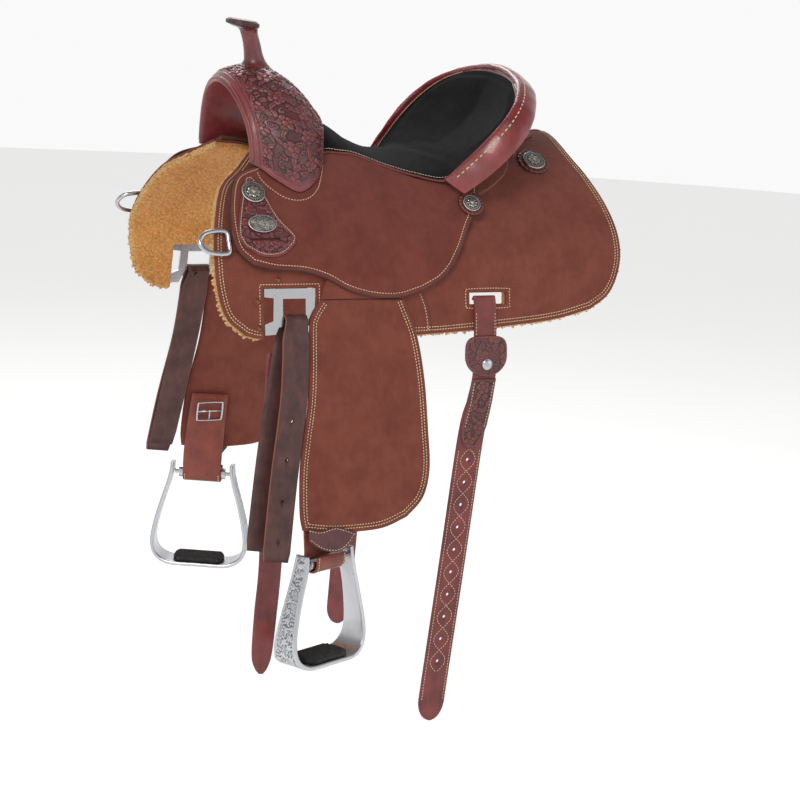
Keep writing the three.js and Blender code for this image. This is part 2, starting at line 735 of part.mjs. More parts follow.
function stirrupTread(side) {
  const { place } = stirrupFrame(side);
  const [under, low, top] = TREAD_Z;
  const ring = (t, half, rise) => [
    place(t, -half, under), place(t, half, under), place(t, half - 3, rise), place(t, -half + 3, rise),
  ];
  const ends = [ring(-TREAD_END, 22, low), ring(TREAD_END, 22, low)];
  return loft([ends[0], ring(-TREAD_FULL, 25, top), ring(TREAD_FULL, 25, top), ends[1]]);
}

// The bolt with the roller on it, between the stirrup's two legs.
function stirrupBolt(side) {
  const { place } = stirrupFrame(side);
  const steps = 12;
  const ring = ([t, radius]) =>
    [...Array(steps).keys()].map((k) => {
      const angle = (2 * Math.PI * k) / steps;
      return place(t, radius * Math.cos(angle), radius * Math.sin(angle));
    });
  const half = [[ROLLER_END - 0.1, ROLLER_R], [ROLLER_END, BOLT_R], [BOLT_END, BOLT_R]];
  const mirror = half.map(([t, radius]) => [-t, radius]).reverse();
  return loft([...mirror, ...half].map(ring));
}

const LOOP_R = 13.2; // middle of the leather round the roller
const LOOP_T = 3.6;
const LEATHER_W = 46;

// The stirrup leather's lower end, which runs round the roller and up behind the fender.
function stirrupLoop(side) {
  const { place, along } = stirrupFrame(side);
  const round = [...Array(9).keys()].map((i) => {
    const angle = (Math.PI * i) / 8;
    return place(0, LOOP_R * Math.cos(angle), -LOOP_R * Math.sin(angle));
  });
  const rise = new THREE.QuadraticBezierCurve3(
    place(0, -LOOP_R, 6), place(0, -LOOP_R, 60), bend(BOLT_X, 600, -6, side));
  const behind = rise.getPoints(6);
  const path = [place(0, LOOP_R, 12), ...round, ...behind];
  const turned = path.length - behind.length;
  const twist = (i) => along.clone().lerp(v3(1, 0, 0), Math.max(0, (i - turned) / 6));
  return strap(path, path.map(() => LEATHER_W), LOOP_T, twist);
}

const HOBBLE_OUTLINE = {
  top: [[-195, 694], [-175, 698], [-150, 693], [-118, 703]],
  front: [[-195, 694], [-195, 714]],
  bottom: [[-195, 714], [-174, 728], [-150, 732], [-132, 724], [-118, 707]],
  rear: [[-118, 703], [-118, 707]],
};
const HOBBLE_N = [6.2, 9.4];
const BUCKLE = { x: [-190, -142], s: [610, 646], n: [-17.5, -13.8] };

const hobbleStrap = (side) => leatherSheet(HOBBLE_OUTLINE, ...HOBBLE_N, side, 6, 2);
const stirrupBuckle = (side) => flankBlock(BUCKLE.x, BUCKLE.s, BUCKLE.n, side);

// ---- Dee rings ----
const DEE = { x: -314, s: 258, n: 6.5, wire: 4, tall: 18, reach: 46 };

function deeRing(side) {
  const mid = archAt(DEE.s);
  const down = bend(0, DEE.s + 1, 0, side).sub(bend(0, DEE.s - 1, 0, side)).normalize();
  const out = v3(0, side * mid.normal.x, mid.normal.y);
  const origin = bend(DEE.x, DEE.s, DEE.n, side);
  const place = (x, s, n) =>
    origin.clone().add(v3(x, 0, 0)).addScaledVector(down, s).addScaledVector(out, n);
  const path = [[0, 0], [0, DEE.tall - 4], [-4, DEE.tall], [-22, DEE.tall], [-38, 13], [-DEE.reach, 0]];
  const loop = [...path, ...path.slice(1, -1).reverse().map(([x, s]) => [x, -s])];
  const curve = new THREE.CatmullRomCurve3(loop.map(([x, s]) => place(x, s, 0)), true, "centripetal");
  const steps = 24;
  const sides = 8;
  const rings = [];
  for (let i = 0; i < steps; i++) {
    const p = curve.getPoint(i / steps);
    const along = curve.getTangent(i / steps);
    const across = new THREE.Vector3().crossVectors(along, out).normalize();
    const ring = [];
    for (let k = 0; k < sides; k++) {
      const angle = (2 * Math.PI * k) / sides;
      const q = p.clone().addScaledVector(across, DEE.wire * Math.cos(angle));
      ring.push(q.addScaledVector(out, DEE.wire * Math.sin(angle)));
    }
    rings.push(ring);
  }
  return closedLoop(rings);
}

// A ring-shaped body through closed rings of equal length.
function closedLoop(rings) {
  const n = rings[0].length;
  const faces = [];
  rings.forEach((_, i) => {
    const next = ((i + 1) % rings.length) * n;
    for (let j = 0; j < n; j++) {
      const k = (j + 1) % n;
      faces.push([i * n + j, i * n + k, next + k], [i * n + j, next + k, next + j]);
    }
  });
  return closedGeometry(rings.flat(), faces);
}

const deeTab = (side) => flankBlock([-307, -284], [246, 270], [PIECE_GAP, 4.5], side);

// ---- Horn ----
// Rings up the horn: x and z of the middle, radius, and the slope of the ring.
const NECK_RINGS = [[-208, 191.2, 19, 0], [-210, 198, 16, 0], [-215, 222, 14, 0.05], [-221, 243.2, 14, 0.12]];
const CAP_RINGS = [
  [-229, 244.5, 20, 0.12], [-231, 248, 26, 0.12], [-232, 255, 26.5, 0.12], [-232, HORN_TOP_Z - 2, 22, 0.12],
];

function leaning(rings, steps) {
  const circle = ([x, z, radius, tilt]) =>
    [...Array(steps).keys()].map((k) => {
      const angle = (2 * Math.PI * k) / steps;
      const dx = radius * Math.cos(angle);
      return v3(x + dx, radius * Math.sin(angle), z - dx * tilt);
    });
  return loft(rings.map(circle));
}

const hornNeck = () => leaning(NECK_RINGS, 16);
const hornCap = () => leaning(CAP_RINGS, 20);

// ---- The whole saddle ----
function addTreeAndSeat() {
  add("tree_fork", treeFork(), "wood");
  add("tree_cantle", treeCantle(), "wood");
  add("ground_seat", groundSeat(), "strap");
  add("swell_cover", swellCover(), "tooled");
  add("horn_neck", hornNeck(), "tooled");
  add("horn_cap", hornCap(), "strap");
  add("seat_pad", seatPad(), "suede");
  add("cantle_binding", cantleBinding(), "binding");
  add("cantle_back", cantleBack(), "roughout");
  add("rear_jockey", rearJockey(), "tooled");
}

function addSheets(side) {
  const name = (text) => sideName(text, side);
  add(name("tree_bar"), treeBar(side), "wood");
  add(name("skirt"), skirt(side), "roughout");
  add(name("fleece"), fleece(side), "fleece");
  add(name("seat_jockey"), seatJockey(side), "roughout");
  add(name("keeper_patch"), keeperPatch(side), "tooled");
  add(name("rigging_plate"), riggingPlate(side), "steel");
  add(name("stirrup_leather"), stirrupLeather(side), "roughout");
  add(name("fender"), fender(side), "roughout");
}

function addStirrup(side) {
  const name = (text) => sideName(text, side);
  add(name("stirrup_loop"), stirrupLoop(side), "strap");
  add(name("stirrup_buckle"), stirrupBuckle(side), "steel");
  add(name("hobble_strap"), hobbleStrap(side), "latigo");
  add(name("stirrup"), stirrup(side), "aluminium");
  add(name("stirrup_tread"), stirrupTread(side), "rubber");
  add(name("stirrup_bolt"), stirrupBolt(side), "steel");
}

function addFittings(side) {
  const name = (text) => sideName(text, side);
  add(name("flank_billet"), flankBillet(side), "strap");
  add(name("billet_flap"), billetFlap(side), "tooled");
  add(name("billet_snap"), billetSnap(side), "steel");
  add(name("dee_ring"), deeRing(side), "steel");
  add(name("dee_tab"), deeTab(side), "strap");
  add(name("front_concho"), reface(button([19, 19], 4.5, -263, 180, 16.3, side)), "silver");
  add(name("oval_concho"), reface(button([23, 15], 4.5, -259, 233, 15.3, side)), "silver");
  add(name("seat_concho"), reface(button([21, 21], 6, 97, 201, 14.5, side)), "silver");
  add(name("rear_concho"), reface(button([27, 27], 7, 240, 107, 1.2, side)), "silver");
}

function addFrontStraps() {
  add("latigo_strap", foldedStrap(LATIGO_FRONT, LATIGO_BACK, NEAR), "latigo");
  add("latigo_end", latigoEnd(), "strap");
  add("off_billet", foldedStrap(OFF_BILLET_FRONT, OFF_BILLET_BACK, OFF), "latigo");
}

addTreeAndSeat();
for (const side of [NEAR, OFF]) {
  addSheets(side);
  addStirrup(side);
  addFittings(side);
}
addFrontStraps();

export default group;
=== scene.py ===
# The looks of the western saddle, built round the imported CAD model.
# Lengths are in millimetres, and make() turns them into Blender's metres. s runs down the
# skirts' arch from the ridge, n stands out from it, and side is -1 near and 1 off.
import math

import bmesh
import bpy
import numpy as np
from mathutils import Matrix, Vector


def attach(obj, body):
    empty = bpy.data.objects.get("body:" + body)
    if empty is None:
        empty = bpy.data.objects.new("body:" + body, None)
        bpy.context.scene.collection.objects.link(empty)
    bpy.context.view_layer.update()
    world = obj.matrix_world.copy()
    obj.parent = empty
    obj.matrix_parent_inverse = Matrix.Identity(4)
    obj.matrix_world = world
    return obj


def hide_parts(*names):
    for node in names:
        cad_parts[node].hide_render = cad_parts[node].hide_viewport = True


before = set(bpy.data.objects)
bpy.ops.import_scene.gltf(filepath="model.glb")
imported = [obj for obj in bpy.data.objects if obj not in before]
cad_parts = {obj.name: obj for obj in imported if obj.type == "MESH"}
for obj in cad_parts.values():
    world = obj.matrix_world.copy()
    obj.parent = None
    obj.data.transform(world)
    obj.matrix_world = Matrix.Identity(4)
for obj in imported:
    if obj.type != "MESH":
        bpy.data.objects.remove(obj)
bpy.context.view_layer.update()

MM = 0.001
NEAR, OFF = -1, 1
SIDES = ((NEAR, "near"), (OFF, "off"))
TAU = 2 * math.pi
REARWARD, UP = np.array([1.0, 0, 0]), np.array([0, 0, 1.0])

# ---- Camera, lights and floor ----
CAMERA_AT = (-1.7026, -3.9801, 0.5800)
CAMERA_RIGHT = Vector((0.9166, -0.3957, 0.0566))
CAMERA_UP = Vector((0.0328, 0.2154, 0.9760))
LENS = 121.6
FLOOR_Z = -1.1


def make_camera():
    camera = bpy.data.objects.new("camera", bpy.data.cameras.new("camera"))
    bpy.context.scene.collection.objects.link(camera)
    right = CAMERA_RIGHT.normalized()
    back = right.cross(CAMERA_UP).normalized()
    up = back.cross(right)
    camera.matrix_world = Matrix((right, up, back)).transposed().to_4x4()
    camera.location = CAMERA_AT
    camera.data.lens = LENS
    camera.data.sensor_width = 36
    camera.data.clip_end = 50
    bpy.context.scene.camera = camera


def make_light(name, at, size, power, color=(1, 1, 1)):
    light = bpy.data.objects.new(name, bpy.data.lights.new(name, "AREA"))
    light.data.size = size
    light.data.energy = power
    light.data.color = color
    light.location = at
    light.rotation_euler = (-Vector(at)).to_track_quat("-Z", "Y").to_euler()
    bpy.context.scene.collection.objects.link(light)


def make_lights():
    make_light("key", (-2.2, -2.6, 2.6), 1.6, 72, (1.0, 0.98, 0.95))
    make_light("fill", (2.6, -2.4, 1.2), 2.4, 16, (0.95, 0.97, 1.0))
    make_light("back", (0.6, 2.8, 2.2), 1.8, 40)
    make_world()
    bpy.context.scene.view_settings.view_transform = "Standard"


def make_world():
    """A white horizon that darkens upwards, so that metal and polished leather keep their contrast."""
    world = bpy.data.worlds.new("studio")
    world.use_nodes = True
    tree = world.node_tree
    height = tree.nodes.new("ShaderNodeSeparateXYZ")
    tree.links.new(tree.nodes.new("ShaderNodeTexCoord").outputs["Generated"], height.inputs[0])
    fade = tree.nodes.new("ShaderNodeMapRange")
    tree.links.new(height.outputs["Z"], fade.inputs[0])
    for index, value in ((1, 0.1), (2, 0.7), (3, 0.95), (4, 0.28)):
        fade.inputs[index].default_value = value
    background = tree.nodes["Background"]
    background.inputs["Color"].default_value = (1.0, 1.0, 1.0, 1)
    tree.links.new(fade.outputs[0], background.inputs["Strength"])
    bpy.context.scene.world = world


# ---- Materials ----
def srgb(red, green, blue):
    return tuple((c / 255 / 12.92 if c < 10.3 else ((c / 255 + 0.055) / 1.055) ** 2.4)
                 for c in (red, green, blue)) + (1.0,)


class Look:
    """A procedural material, built node by node in object coordinates."""

    def __init__(self, name, **constants):
        self.material = bpy.data.materials.new(name)
        self.material.use_nodes = True
        self.tree = self.material.node_tree
        self.shader = self.tree.nodes["Principled BSDF"]
        self.place = self.node("ShaderNodeTexCoord").outputs["Object"]
        for socket, value in constants.items():
            self.shader.inputs[socket.replace("_", " ")].default_value = value

    def node(self, kind, inputs=(), **settings):
        made = self.tree.nodes.new(kind)
        for key, value in settings.items():
            setattr(made, key, value)
        for key, value in dict(inputs).items():
            self.put(made.inputs[key], value)
        return made

    def put(self, socket, value):
        if isinstance(value, bpy.types.NodeSocket):
            self.tree.links.new(value, socket)
        else:
            socket.default_value = value

    def stretched(self, x, y, z):
        scale = {"Vector": self.place, "Scale": (x, y, z)}
        return self.node("ShaderNodeMapping", scale).outputs["Vector"]

    def noise(self, scale, detail=3.0, rough=0.55, place=None):
        inputs = {"Vector": place or self.place, "Scale": scale, "Detail": detail, "Roughness": rough}
        return self.node("ShaderNodeTexNoise", inputs).outputs["Fac"]

    def cells(self, scale):
        return self.node("ShaderNodeTexVoronoi", {"Vector": self.place, "Scale": scale}).outputs["Distance"]

    def stored(self, name):
        return self.node("ShaderNodeAttribute", attribute_name=name).outputs["Fac"]

    def spread(self, value, low, high, to_low=0.0, to_high=1.0):
        inputs = {0: value, 1: low, 2: high, 3: to_low, 4: to_high}
        return self.node("ShaderNodeMapRange", inputs).outputs[0]

    def mix(self, factor, first, second, blend="MIX"):
        made = self.node("ShaderNodeMix", data_type="RGBA", blend_type=blend)
        for index, value in ((0, factor), (6, first), (7, second)):
            self.put(made.inputs[index], value)
        return made.outputs[2]

    def bump(self, height, distance, normal=None):
        inputs = {"Height": height, "Distance": distance}
        if normal:
            inputs["Normal"] = normal
        return self.node("ShaderNodeBump", inputs).outputs["Normal"]

    def done(self, color, roughness, normal):
        for socket, value in (("Base Color", color), ("Roughness", roughness), ("Normal", normal)):
            self.put(self.shader.inputs[socket], value)
        return self.material


def roughout_look(name, main, dark, light):
    """Cowhide with its flesh side out: matt, mottled, with a short brushed nap."""
    look = Look(name, Sheen_Weight=0.12, Sheen_Roughness=0.6, Specular_IOR_Level=0.25)
    mottle = look.noise(26, 5, 0.65)
    brushed = look.noise(95, 4, 0.7, look.stretched(1, 1, 0.35))
    nap = look.noise(1500, 3, 0.6)
    color = look.mix(look.spread(mottle, 0.2, 0.6), dark, main)
    color = look.mix(look.spread(brushed, 0.5, 0.85, 0, 0.35), color, light)
    color = look.mix(look.spread(nap, 0.35, 0.7, 0, 0.22), color, dark)
    scuffs = look.noise(9, 8, 0.75, look.stretched(1, 1, 2.4))
    color = look.mix(look.spread(scuffs, 0.6, 0.76, 0, 0.25), color, light)
    coarse = look.bump(look.noise(330, 4, 0.7), 0.0007)
    return look.done(color, look.spread(mottle, 0.3, 0.7, 0.98, 0.82), look.bump(nap, 0.00035, coarse))


def tooled_look(name, main, dark, light, coat=0.35):
    """Carved skirting leather: waxed and glossier where it stands up, and lighter there as a painted
    highlight; darker in the creases, partly dark stain and partly painted shade.
    """
    look = Look(name, Coat_Weight=coat, Coat_Roughness=0.2)
    height = look.stored("relief")
    patina = look.noise(38, 4, 0.6)
    color = look.mix(look.spread(patina, 0.3, 0.7), main, light)
    # Painted highlight: lighter where the carving stands up.
    color = look.mix(look.spread(height, 0.6, 1.0, 0, 0.5), color, light)
    # Darker in the creases: partly dark stain, partly painted shade.
    color = look.mix(look.spread(height, 0.15, 0.55, 0.95, 0), color, dark)
    color = look.mix(look.spread(look.noise(420, 2, 0.5), 0.55, 0.8, 0, 0.25), color, dark)
    pores = look.bump(look.cells(1300), 0.00012)
    rough = look.spread(height, 0.2, 0.7, 0.6, 0.3)
    return look.done(color, rough, look.bump(look.cells(560), 0.0005, pores))


def smooth_look(name, main, dark, roughness=0.35, coat=0.4, streak=0.25):
    """Grain-side strap leather with fine pores, pull-up streaks and a satin or glossy finish."""
    look = Look(name, Coat_Weight=coat, Coat_Roughness=0.18)
    cloud = look.noise(30, 5, 0.6)
    streaks = look.noise(120, 4, 0.6, look.stretched(1, 1, 0.12))
    pores = look.cells(1100)
    color = look.mix(look.spread(cloud, 0.32, 0.7), dark, main)
    color = look.mix(look.spread(streaks, 0.52, 0.75, 0, streak), color, srgb(150, 92, 76))
    color = look.mix(look.spread(pores, 0.0, 0.22, 0.35, 0), color, dark)
    color = look.mix(look.stored("raw"), color, srgb(132, 70, 50))
    creases = look.bump(look.noise(160, 5, 0.7), 0.0005)
    rough = look.spread(cloud, 0.3, 0.7, roughness + 0.14, roughness - 0.05)
    return look.done(color, rough, look.bump(pores, 0.00018, creases))


def suede_look():
    look = Look("black_suede", Sheen_Weight=0.04, Sheen_Roughness=0.45, Specular_IOR_Level=0.12)
    brushed = look.noise(34, 6, 0.7)
    nap = look.noise(1700, 2, 0.6)
    color = look.mix(look.spread(brushed, 0.36, 0.66), srgb(11, 10, 11), srgb(25, 24, 25))
    color = look.mix(look.spread(nap, 0.4, 0.75, 0, 0.35), color, srgb(36, 34, 34))
    soft = look.bump(look.noise(240, 4, 0.6), 0.0005)
    return look.done(color, 0.96, look.bump(nap, 0.0003, soft))


def fleece_look(name, main, warm, pale, shade):
    look = Look(name, Sheen_Weight=0.25, Sheen_Roughness=0.5, Specular_IOR_Level=0.2)
    tufts = look.cells(210)
    yarn = look.noise(900, 4, 0.7)
    cloud = look.noise(14, 4, 0.6)
    color = look.mix(look.spread(cloud, 0.32, 0.68), main, warm)
    color = look.mix(look.spread(tufts, 0.1, 0.6, 0.5, 0), color, pale)
    color = look.mix(look.spread(yarn, 0.45, 0.8, 0, 0.5), color, shade)
    curls = look.bump(tufts, 0.0024, look.bump(look.cells(90), 0.002))
    return look.done(color, 1.0, look.bump(yarn, 0.0009, curls))


def metal_look(name, bright, dark, roughness, scratch=0.00003, engraved=True):
    """Worn metal, with dark antiquing where it is engraved, and painted shade where a rivet's head meets its
    burr.
    """
    look = Look(name, Metallic=1.0)
    smear = look.noise(60, 5, 0.65)
    lines = look.noise(700, 3, 0.6, look.stretched(1, 1, 0.06))
    color = look.mix(look.spread(smear, 0.5, 0.8, 0, 0.12), bright, dark)
    if engraved:
        # Dark in the hollows: antiquing in engraved silver and aluminium, a painted shade ring on copper
        # rivets.
        color = look.mix(look.spread(look.stored("relief"), 0.12, 0.5, 0.95, 0), color, dark)
    rough = look.spread(smear, 0.3, 0.75, roughness, roughness + 0.1)
    return look.done(color, rough, look.bump(lines, scratch))


def rubber_look():
    look = Look("tread_rubber", Specular_IOR_Level=0.35)
    dust = look.noise(120, 5, 0.7)
    color = look.mix(look.spread(dust, 0.45, 0.75, 0, 0.5), srgb(34, 34, 35), srgb(92, 90, 85))
    return look.done(color, look.spread(dust, 0.3, 0.7, 0.7, 0.95), look.bump(look.noise(900, 2), 0.0002))


def thread_look(name, main, dark):
    look = Look(name, Specular_IOR_Level=0.4)
    twist = look.noise(2600, 2, 0.5, look.stretched(1, 0.5, 1))
    grime = look.noise(70, 4, 0.6)
    color = look.mix(look.spread(grime, 0.35, 0.75, 0, 0.6), main, dark)
    return look.done(color, look.spread(twist, 0.3, 0.7, 0.5, 0.75), look.bump(twist, 0.0003))


def wood_look():
    look = Look("tree_wood")
    grain = look.noise(60, 5, 0.6, look.stretched(0.1, 1, 1))
    color = look.mix(look.spread(grain, 0.3, 0.7), srgb(58, 38, 26), srgb(98, 70, 48))
    return look.done(color, look.spread(grain, 0.3, 0.7, 0.6, 0.8), look.bump(grain, 0.0004))


def floor_look():
    look = Look("floor", Emission_Color=(1, 1, 1, 1), Emission_Strength=0.42)
    cloud = look.noise(3, 4, 0.5)
    color = look.mix(cloud, srgb(242, 242, 241), srgb(247, 247, 246))
    return look.done(color, look.spread(cloud, 0.3, 0.7, 0.8, 0.9), look.bump(look.noise(300, 2), 0.0001))


LOOKS = {
    "roughout": roughout_look("roughout_leather", srgb(120, 60, 46), srgb(99, 45, 35), srgb(143, 81, 64)),
    "jockey": roughout_look("jockey_roughout", srgb(113, 53, 41), srgb(92, 39, 31), srgb(137, 73, 57)),
    "tooled": tooled_look("tooled_leather", srgb(100, 29, 36), srgb(30, 7, 10), srgb(134, 52, 54), 0.5),
    "dark_tooled": tooled_look("dark_tooled_leather", srgb(88, 29, 31), srgb(26, 8, 9), srgb(120, 54, 48)),
    "binding": smooth_look("binding_leather", srgb(142, 42, 42), srgb(104, 26, 30), 0.25, 0.6, 0.1),
    "latigo": smooth_look("latigo_leather", srgb(86, 49, 44), srgb(56, 29, 27), 0.5, 0.08, 0.16),
    "strap": smooth_look("strap_leather", srgb(124, 44, 42), srgb(88, 27, 28), 0.4, 0.25, 0.14),
    "hobble": smooth_look("hobble_leather", srgb(92, 40, 42), srgb(66, 27, 30), 0.36, 0.3, 0.1),
    "loop": smooth_look("loop_leather", srgb(134, 58, 40), srgb(104, 42, 31), 0.45, 0.15, 0.15),
    "edge": smooth_look("edge_leather", srgb(70, 32, 28), srgb(38, 16, 16), 0.45, 0.2, 0.1),
    "horn": smooth_look("horn_leather", srgb(112, 38, 44), srgb(78, 24, 30), 0.33, 0.45, 0.12),
    "horn_edge": smooth_look("horn_edge_leather", srgb(74, 62, 60), srgb(36, 28, 28), 0.5, 0.15, 0.2),
    "suede": suede_look(),
    "fleece": fleece_look("fleece", srgb(196, 126, 58), srgb(214, 152, 82), srgb(234, 196, 132),
                          srgb(150, 88, 40)),
    "fringe": fleece_look("fleece_fringe", srgb(208, 162, 98), srgb(222, 184, 124), srgb(240, 218, 170),
                          srgb(172, 118, 66)),
    "plain_steel": metal_look("stainless_steel", srgb(190, 190, 193), srgb(92, 92, 95), 0.2, engraved=False),
    "silver": metal_look("antique_silver", srgb(196, 191, 182), srgb(20, 18, 17), 0.24),
    "aluminium": metal_look("engraved_aluminium", srgb(200, 202, 206), srgb(66, 68, 74), 0.26),
    "copper": metal_look("copper", srgb(136, 88, 64), srgb(40, 22, 17), 0.38),
    "rubber": rubber_look(),
    "thread": thread_look("cream_thread", srgb(226, 208, 172), srgb(168, 140, 104)),
    "wood": wood_look(),
}


# ---- Meshes ----
def signed_volume(points, faces):
    total = 0.0
    for shape in faces:
        corners = points[np.asarray(shape)]
        for k in range(1, corners.shape[1] - 1):
            total += np.einsum("ij,ij->", corners[:, 0], np.cross(corners[:, k], corners[:, k + 1]))
    return total


def make(name, points, faces, look, body, slot=None, stands_for=(), relief=None):
    """One piece from points in millimetres and lists of faces with equal corner counts."""
    points = np.asarray(points, float)
    faces = [np.asarray(f) for f in faces if len(f)]
    if signed_volume(points, faces) < 0:
        faces = [f[:, ::-1] for f in faces]
    mesh = bpy.data.meshes.new(name)
    mesh.from_pydata((points * MM).tolist(), [], [row for f in faces for row in f.tolist()])
    if relief is None:
        relief = np.ones(len(points))
    stored = mesh.attributes.new("relief", "FLOAT", "POINT")
    stored.data.foreach_set("value", np.asarray(relief).astype(np.float32))
    mesh.polygons.foreach_set("use_smooth", [True] * len(mesh.polygons))
    mesh.materials.append(LOOKS[look])
    piece = bpy.data.objects.new(name, mesh)
    bpy.context.scene.collection.objects.link(piece)
    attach(piece, body)
    if stands_for:
        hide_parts(*stands_for)
    return piece


def grid_faces(rows, cols, wrap=False, start=0):
    """Quads over a rows by cols grid of points, closed on itself along cols if it wraps."""
    r = np.arange(rows - 1)[:, None] * cols
    c = np.arange(cols if wrap else cols - 1)[None, :]
    d = (c + 1) % cols
    quads = np.stack([r + c, r + d, r + cols + d, r + cols + c], -1)
    return quads.reshape(-1, 4) + start


def edge_reach(us, vs, wide, tall):
    """Distance to the nearest edge, at shares us and vs of a wide by tall sheet."""
    return np.minimum(np.minimum(us, 1 - us)[:, None] * wide, np.minimum(vs, 1 - vs)[None] * tall)


def slab(top, under):
    """Points and faces of a sheet between two equal grids."""
    rows, cols = top.shape[:2]
    count = rows * cols
    points = np.concatenate([top.reshape(-1, 3), under.reshape(-1, 3)])
    index = np.arange(count).reshape(rows, cols)
    rim = np.concatenate([index[0, :-1], index[:-1, -1], index[-1, :0:-1], index[:0:-1, 0]])
    after = np.roll(rim, -1)
    sides = np.stack([after, rim, rim + count, after + count], -1)
    faces = grid_faces(rows, cols)
    return points, [np.concatenate([faces, faces[:, ::-1] + count, sides])]


def loft(rings):
    """Points and faces of a closed body through equal closed rings, capped at both ends."""
    rings = np.asarray(rings, float)
    rows, cols = rings.shape[:2]
    ends = np.stack([rings[0].mean(0), rings[-1].mean(0)])
    points = np.concatenate([rings.reshape(-1, 3), ends])
    c = np.arange(cols)
    d = (c + 1) % cols
    last = (rows - 1) * cols
    hub = rows * cols
    caps = np.concatenate([
        np.stack([d, c, np.full(cols, hub)], -1),
        np.stack([last + c, last + d, np.full(cols, hub + 1)], -1),
    ])
    return points, [grid_faces(rows, cols, True), caps]


def joined(parts):
    """Several bodies, each (points, faces), as one."""
    points, faces, start = [], {}, 0
    for body_points, body_faces in parts:
        if signed_volume(body_points, body_faces) < 0:
            body_faces = [f[:, ::-1] for f in body_faces]
        for f in body_faces:
            faces.setdefault(f.shape[1], []).append(f + start)
        points.append(body_points)
        start += len(body_points)
    return np.concatenate(points), [np.concatenate(f) for f in faces.values()]


# ---- Lines ----
def unit(vectors):
    return vectors / np.maximum(np.linalg.norm(vectors, axis=-1, keepdims=True), 1e-9)


def smooth(low, high, value):
    t = np.clip((value - low) / (high - low), 0, 1)
    return t * t * (3 - 2 * t)


def spline(points, steps=16, loop=False):
    """A dense line through points, with soft bends (Catmull-Rom)."""
    p = np.asarray(points, float)
    if len(p) == 2:
        return p[0] + (p[1] - p[0]) * np.linspace(0, 1, steps + 1)[:, None]
    ends = (p[-1:], p[:1], p[1:2]) if loop else (2 * p[:1] - p[1:2], 2 * p[-1:] - p[-2:-1], p[:0])
    q = np.concatenate([ends[0], p, ends[1], ends[2]])
    t = np.linspace(0, 1, steps, endpoint=False)[:, None]
    lines = []
    for k in range(len(q) - 3):
        a, b, c, d = q[k:k + 4]
        lines.append(0.5 * (2 * b + (c - a) * t + (2 * a - 5 * b + 4 * c - d) * t**2
                            + (3 * b - a - 3 * c + d) * t**3))
    return np.concatenate(lines + [q[-2:-1]])


def lengths(line):
    return np.concatenate([[0], np.cumsum(np.linalg.norm(np.diff(line, axis=0), axis=-1))])


def at_shares(line, shares):
    """Points at shares of a line's length."""
    run = lengths(line)
    at = np.asarray(shares) * run[-1]
    return np.stack([np.interp(at, run, line[:, k]) for k in range(line.shape[1])], -1)


def even(line, pitch):
    count = max(2, int(round(lengths(line)[-1] / pitch)) + 1)
    return at_shares(line, np.linspace(0, 1, count))


def shares(length, pitch, edge):
    """Shares of a length, closer together where the sheet's edge is rounded."""
    inner = np.linspace(edge, length - edge, max(2, int(length / pitch)))
    near = edge * np.array([0, 0.06, 0.25, 0.55])
    return np.concatenate([near, inner, length - near[::-1]]) / length


# ---- The arch that the skirts follow ----
RIDGE_Z, FLANK_Y, FLANK_Z = 90, 212, -92
FLANK = math.radians(80)
FLANK_DOWN = np.array([math.cos(FLANK), -math.sin(FLANK)])


def arch_line():
    p0, p3 = np.array([0, RIDGE_Z]), np.array([FLANK_Y, FLANK_Z])
    p1, p2 = np.array([84.5, RIDGE_Z + 2]), p3 - 49 * FLANK_DOWN
    t = np.linspace(0, 1, 3001)[:, None]
    return (1 - t)**3 * p0 + 3 * (1 - t)**2 * t * p1 + 3 * (1 - t) * t**2 * p2 + t**3 * p3


ARCH = np.concatenate([arch_line(), arch_line()[-1:] + 900 * FLANK_DOWN])
ARCH_RUN = lengths(ARCH)
ARCH_LENGTH = ARCH_RUN[-2]


def arch(s):
    """Height and half width of the arch at s, and its outward direction."""
    at = np.abs(s)
    spot = np.stack([np.interp(at, ARCH_RUN, ARCH[:, k]) for k in (0, 1)], -1)
    before = np.stack([np.interp(np.maximum(at - 1, 0), ARCH_RUN, ARCH[:, k]) for k in (0, 1)], -1)
    after = np.stack([np.interp(at + 1, ARCH_RUN, ARCH[:, k]) for k in (0, 1)], -1)
    run = unit(after - before)
    return spot, np.stack([-run[..., 1], run[..., 0]], -1)


def on_arch(x, s, n, side):
    x, s, n = np.broadcast_arrays(np.asarray(x, float), np.asarray(s, float), np.asarray(n, float))
    spot, out = arch(s)
    turn = side * np.where(s < 0, -1, 1)
    return np.stack([x, turn * (spot[..., 0] + n * out[..., 0]), spot[..., 1] + n * out[..., 1]], -1)


def out_of_arch(s, side):
    _, out = arch(s)
    turn = side * np.where(np.asarray(s) < 0, -1, 1)
    return np.stack([np.zeros_like(out[..., 0]), turn * out[..., 0], out[..., 1]], -1)


def down_to(z):
    return ARCH_LENGTH + (FLANK_Z - z) / math.sin(FLANK)


# ---- Leather sheets ----
def coons(outline, us, vs):
    """x and s over a four-sided outline: front and rear run down, top and bottom rearward."""
    lines = {key: spline(points) for key, points in outline.items()}
    top, bottom = (at_shares(lines[k], us)[:, None] for k in ("top", "bottom"))
    front, rear = (at_shares(lines[k], vs)[None] for k in ("front", "rear"))
    u, v = us[:, None, None], vs[None, :, None]
    ruled = (1 - u) * front + u * rear + (1 - v) * top + v * bottom
    corners = ((1 - u) * ((1 - v) * front[:, :1] + v * front[:, -1:])
               + u * ((1 - v) * rear[:, :1] + v * rear[:, -1:]))
    return ruled - corners


def rounded(distance, edge):
    """How far a surface has fallen at a distance from its rounded edge, from 0 to 1."""
    t = 1 - np.clip(distance / edge, 0, 1)
    return 1 - np.sqrt(np.maximum(1 - t * t, 0))


def waves(x, s):
    """Slow unevenness of hand-cut leather, within about one unit."""
    return (0.5 * np.sin(x / 37 + s / 61) + 0.3 * np.sin(s / 23 - x / 51 + 1.3)
            + 0.2 * np.sin(x / 13 + s / 17 + 0.4))


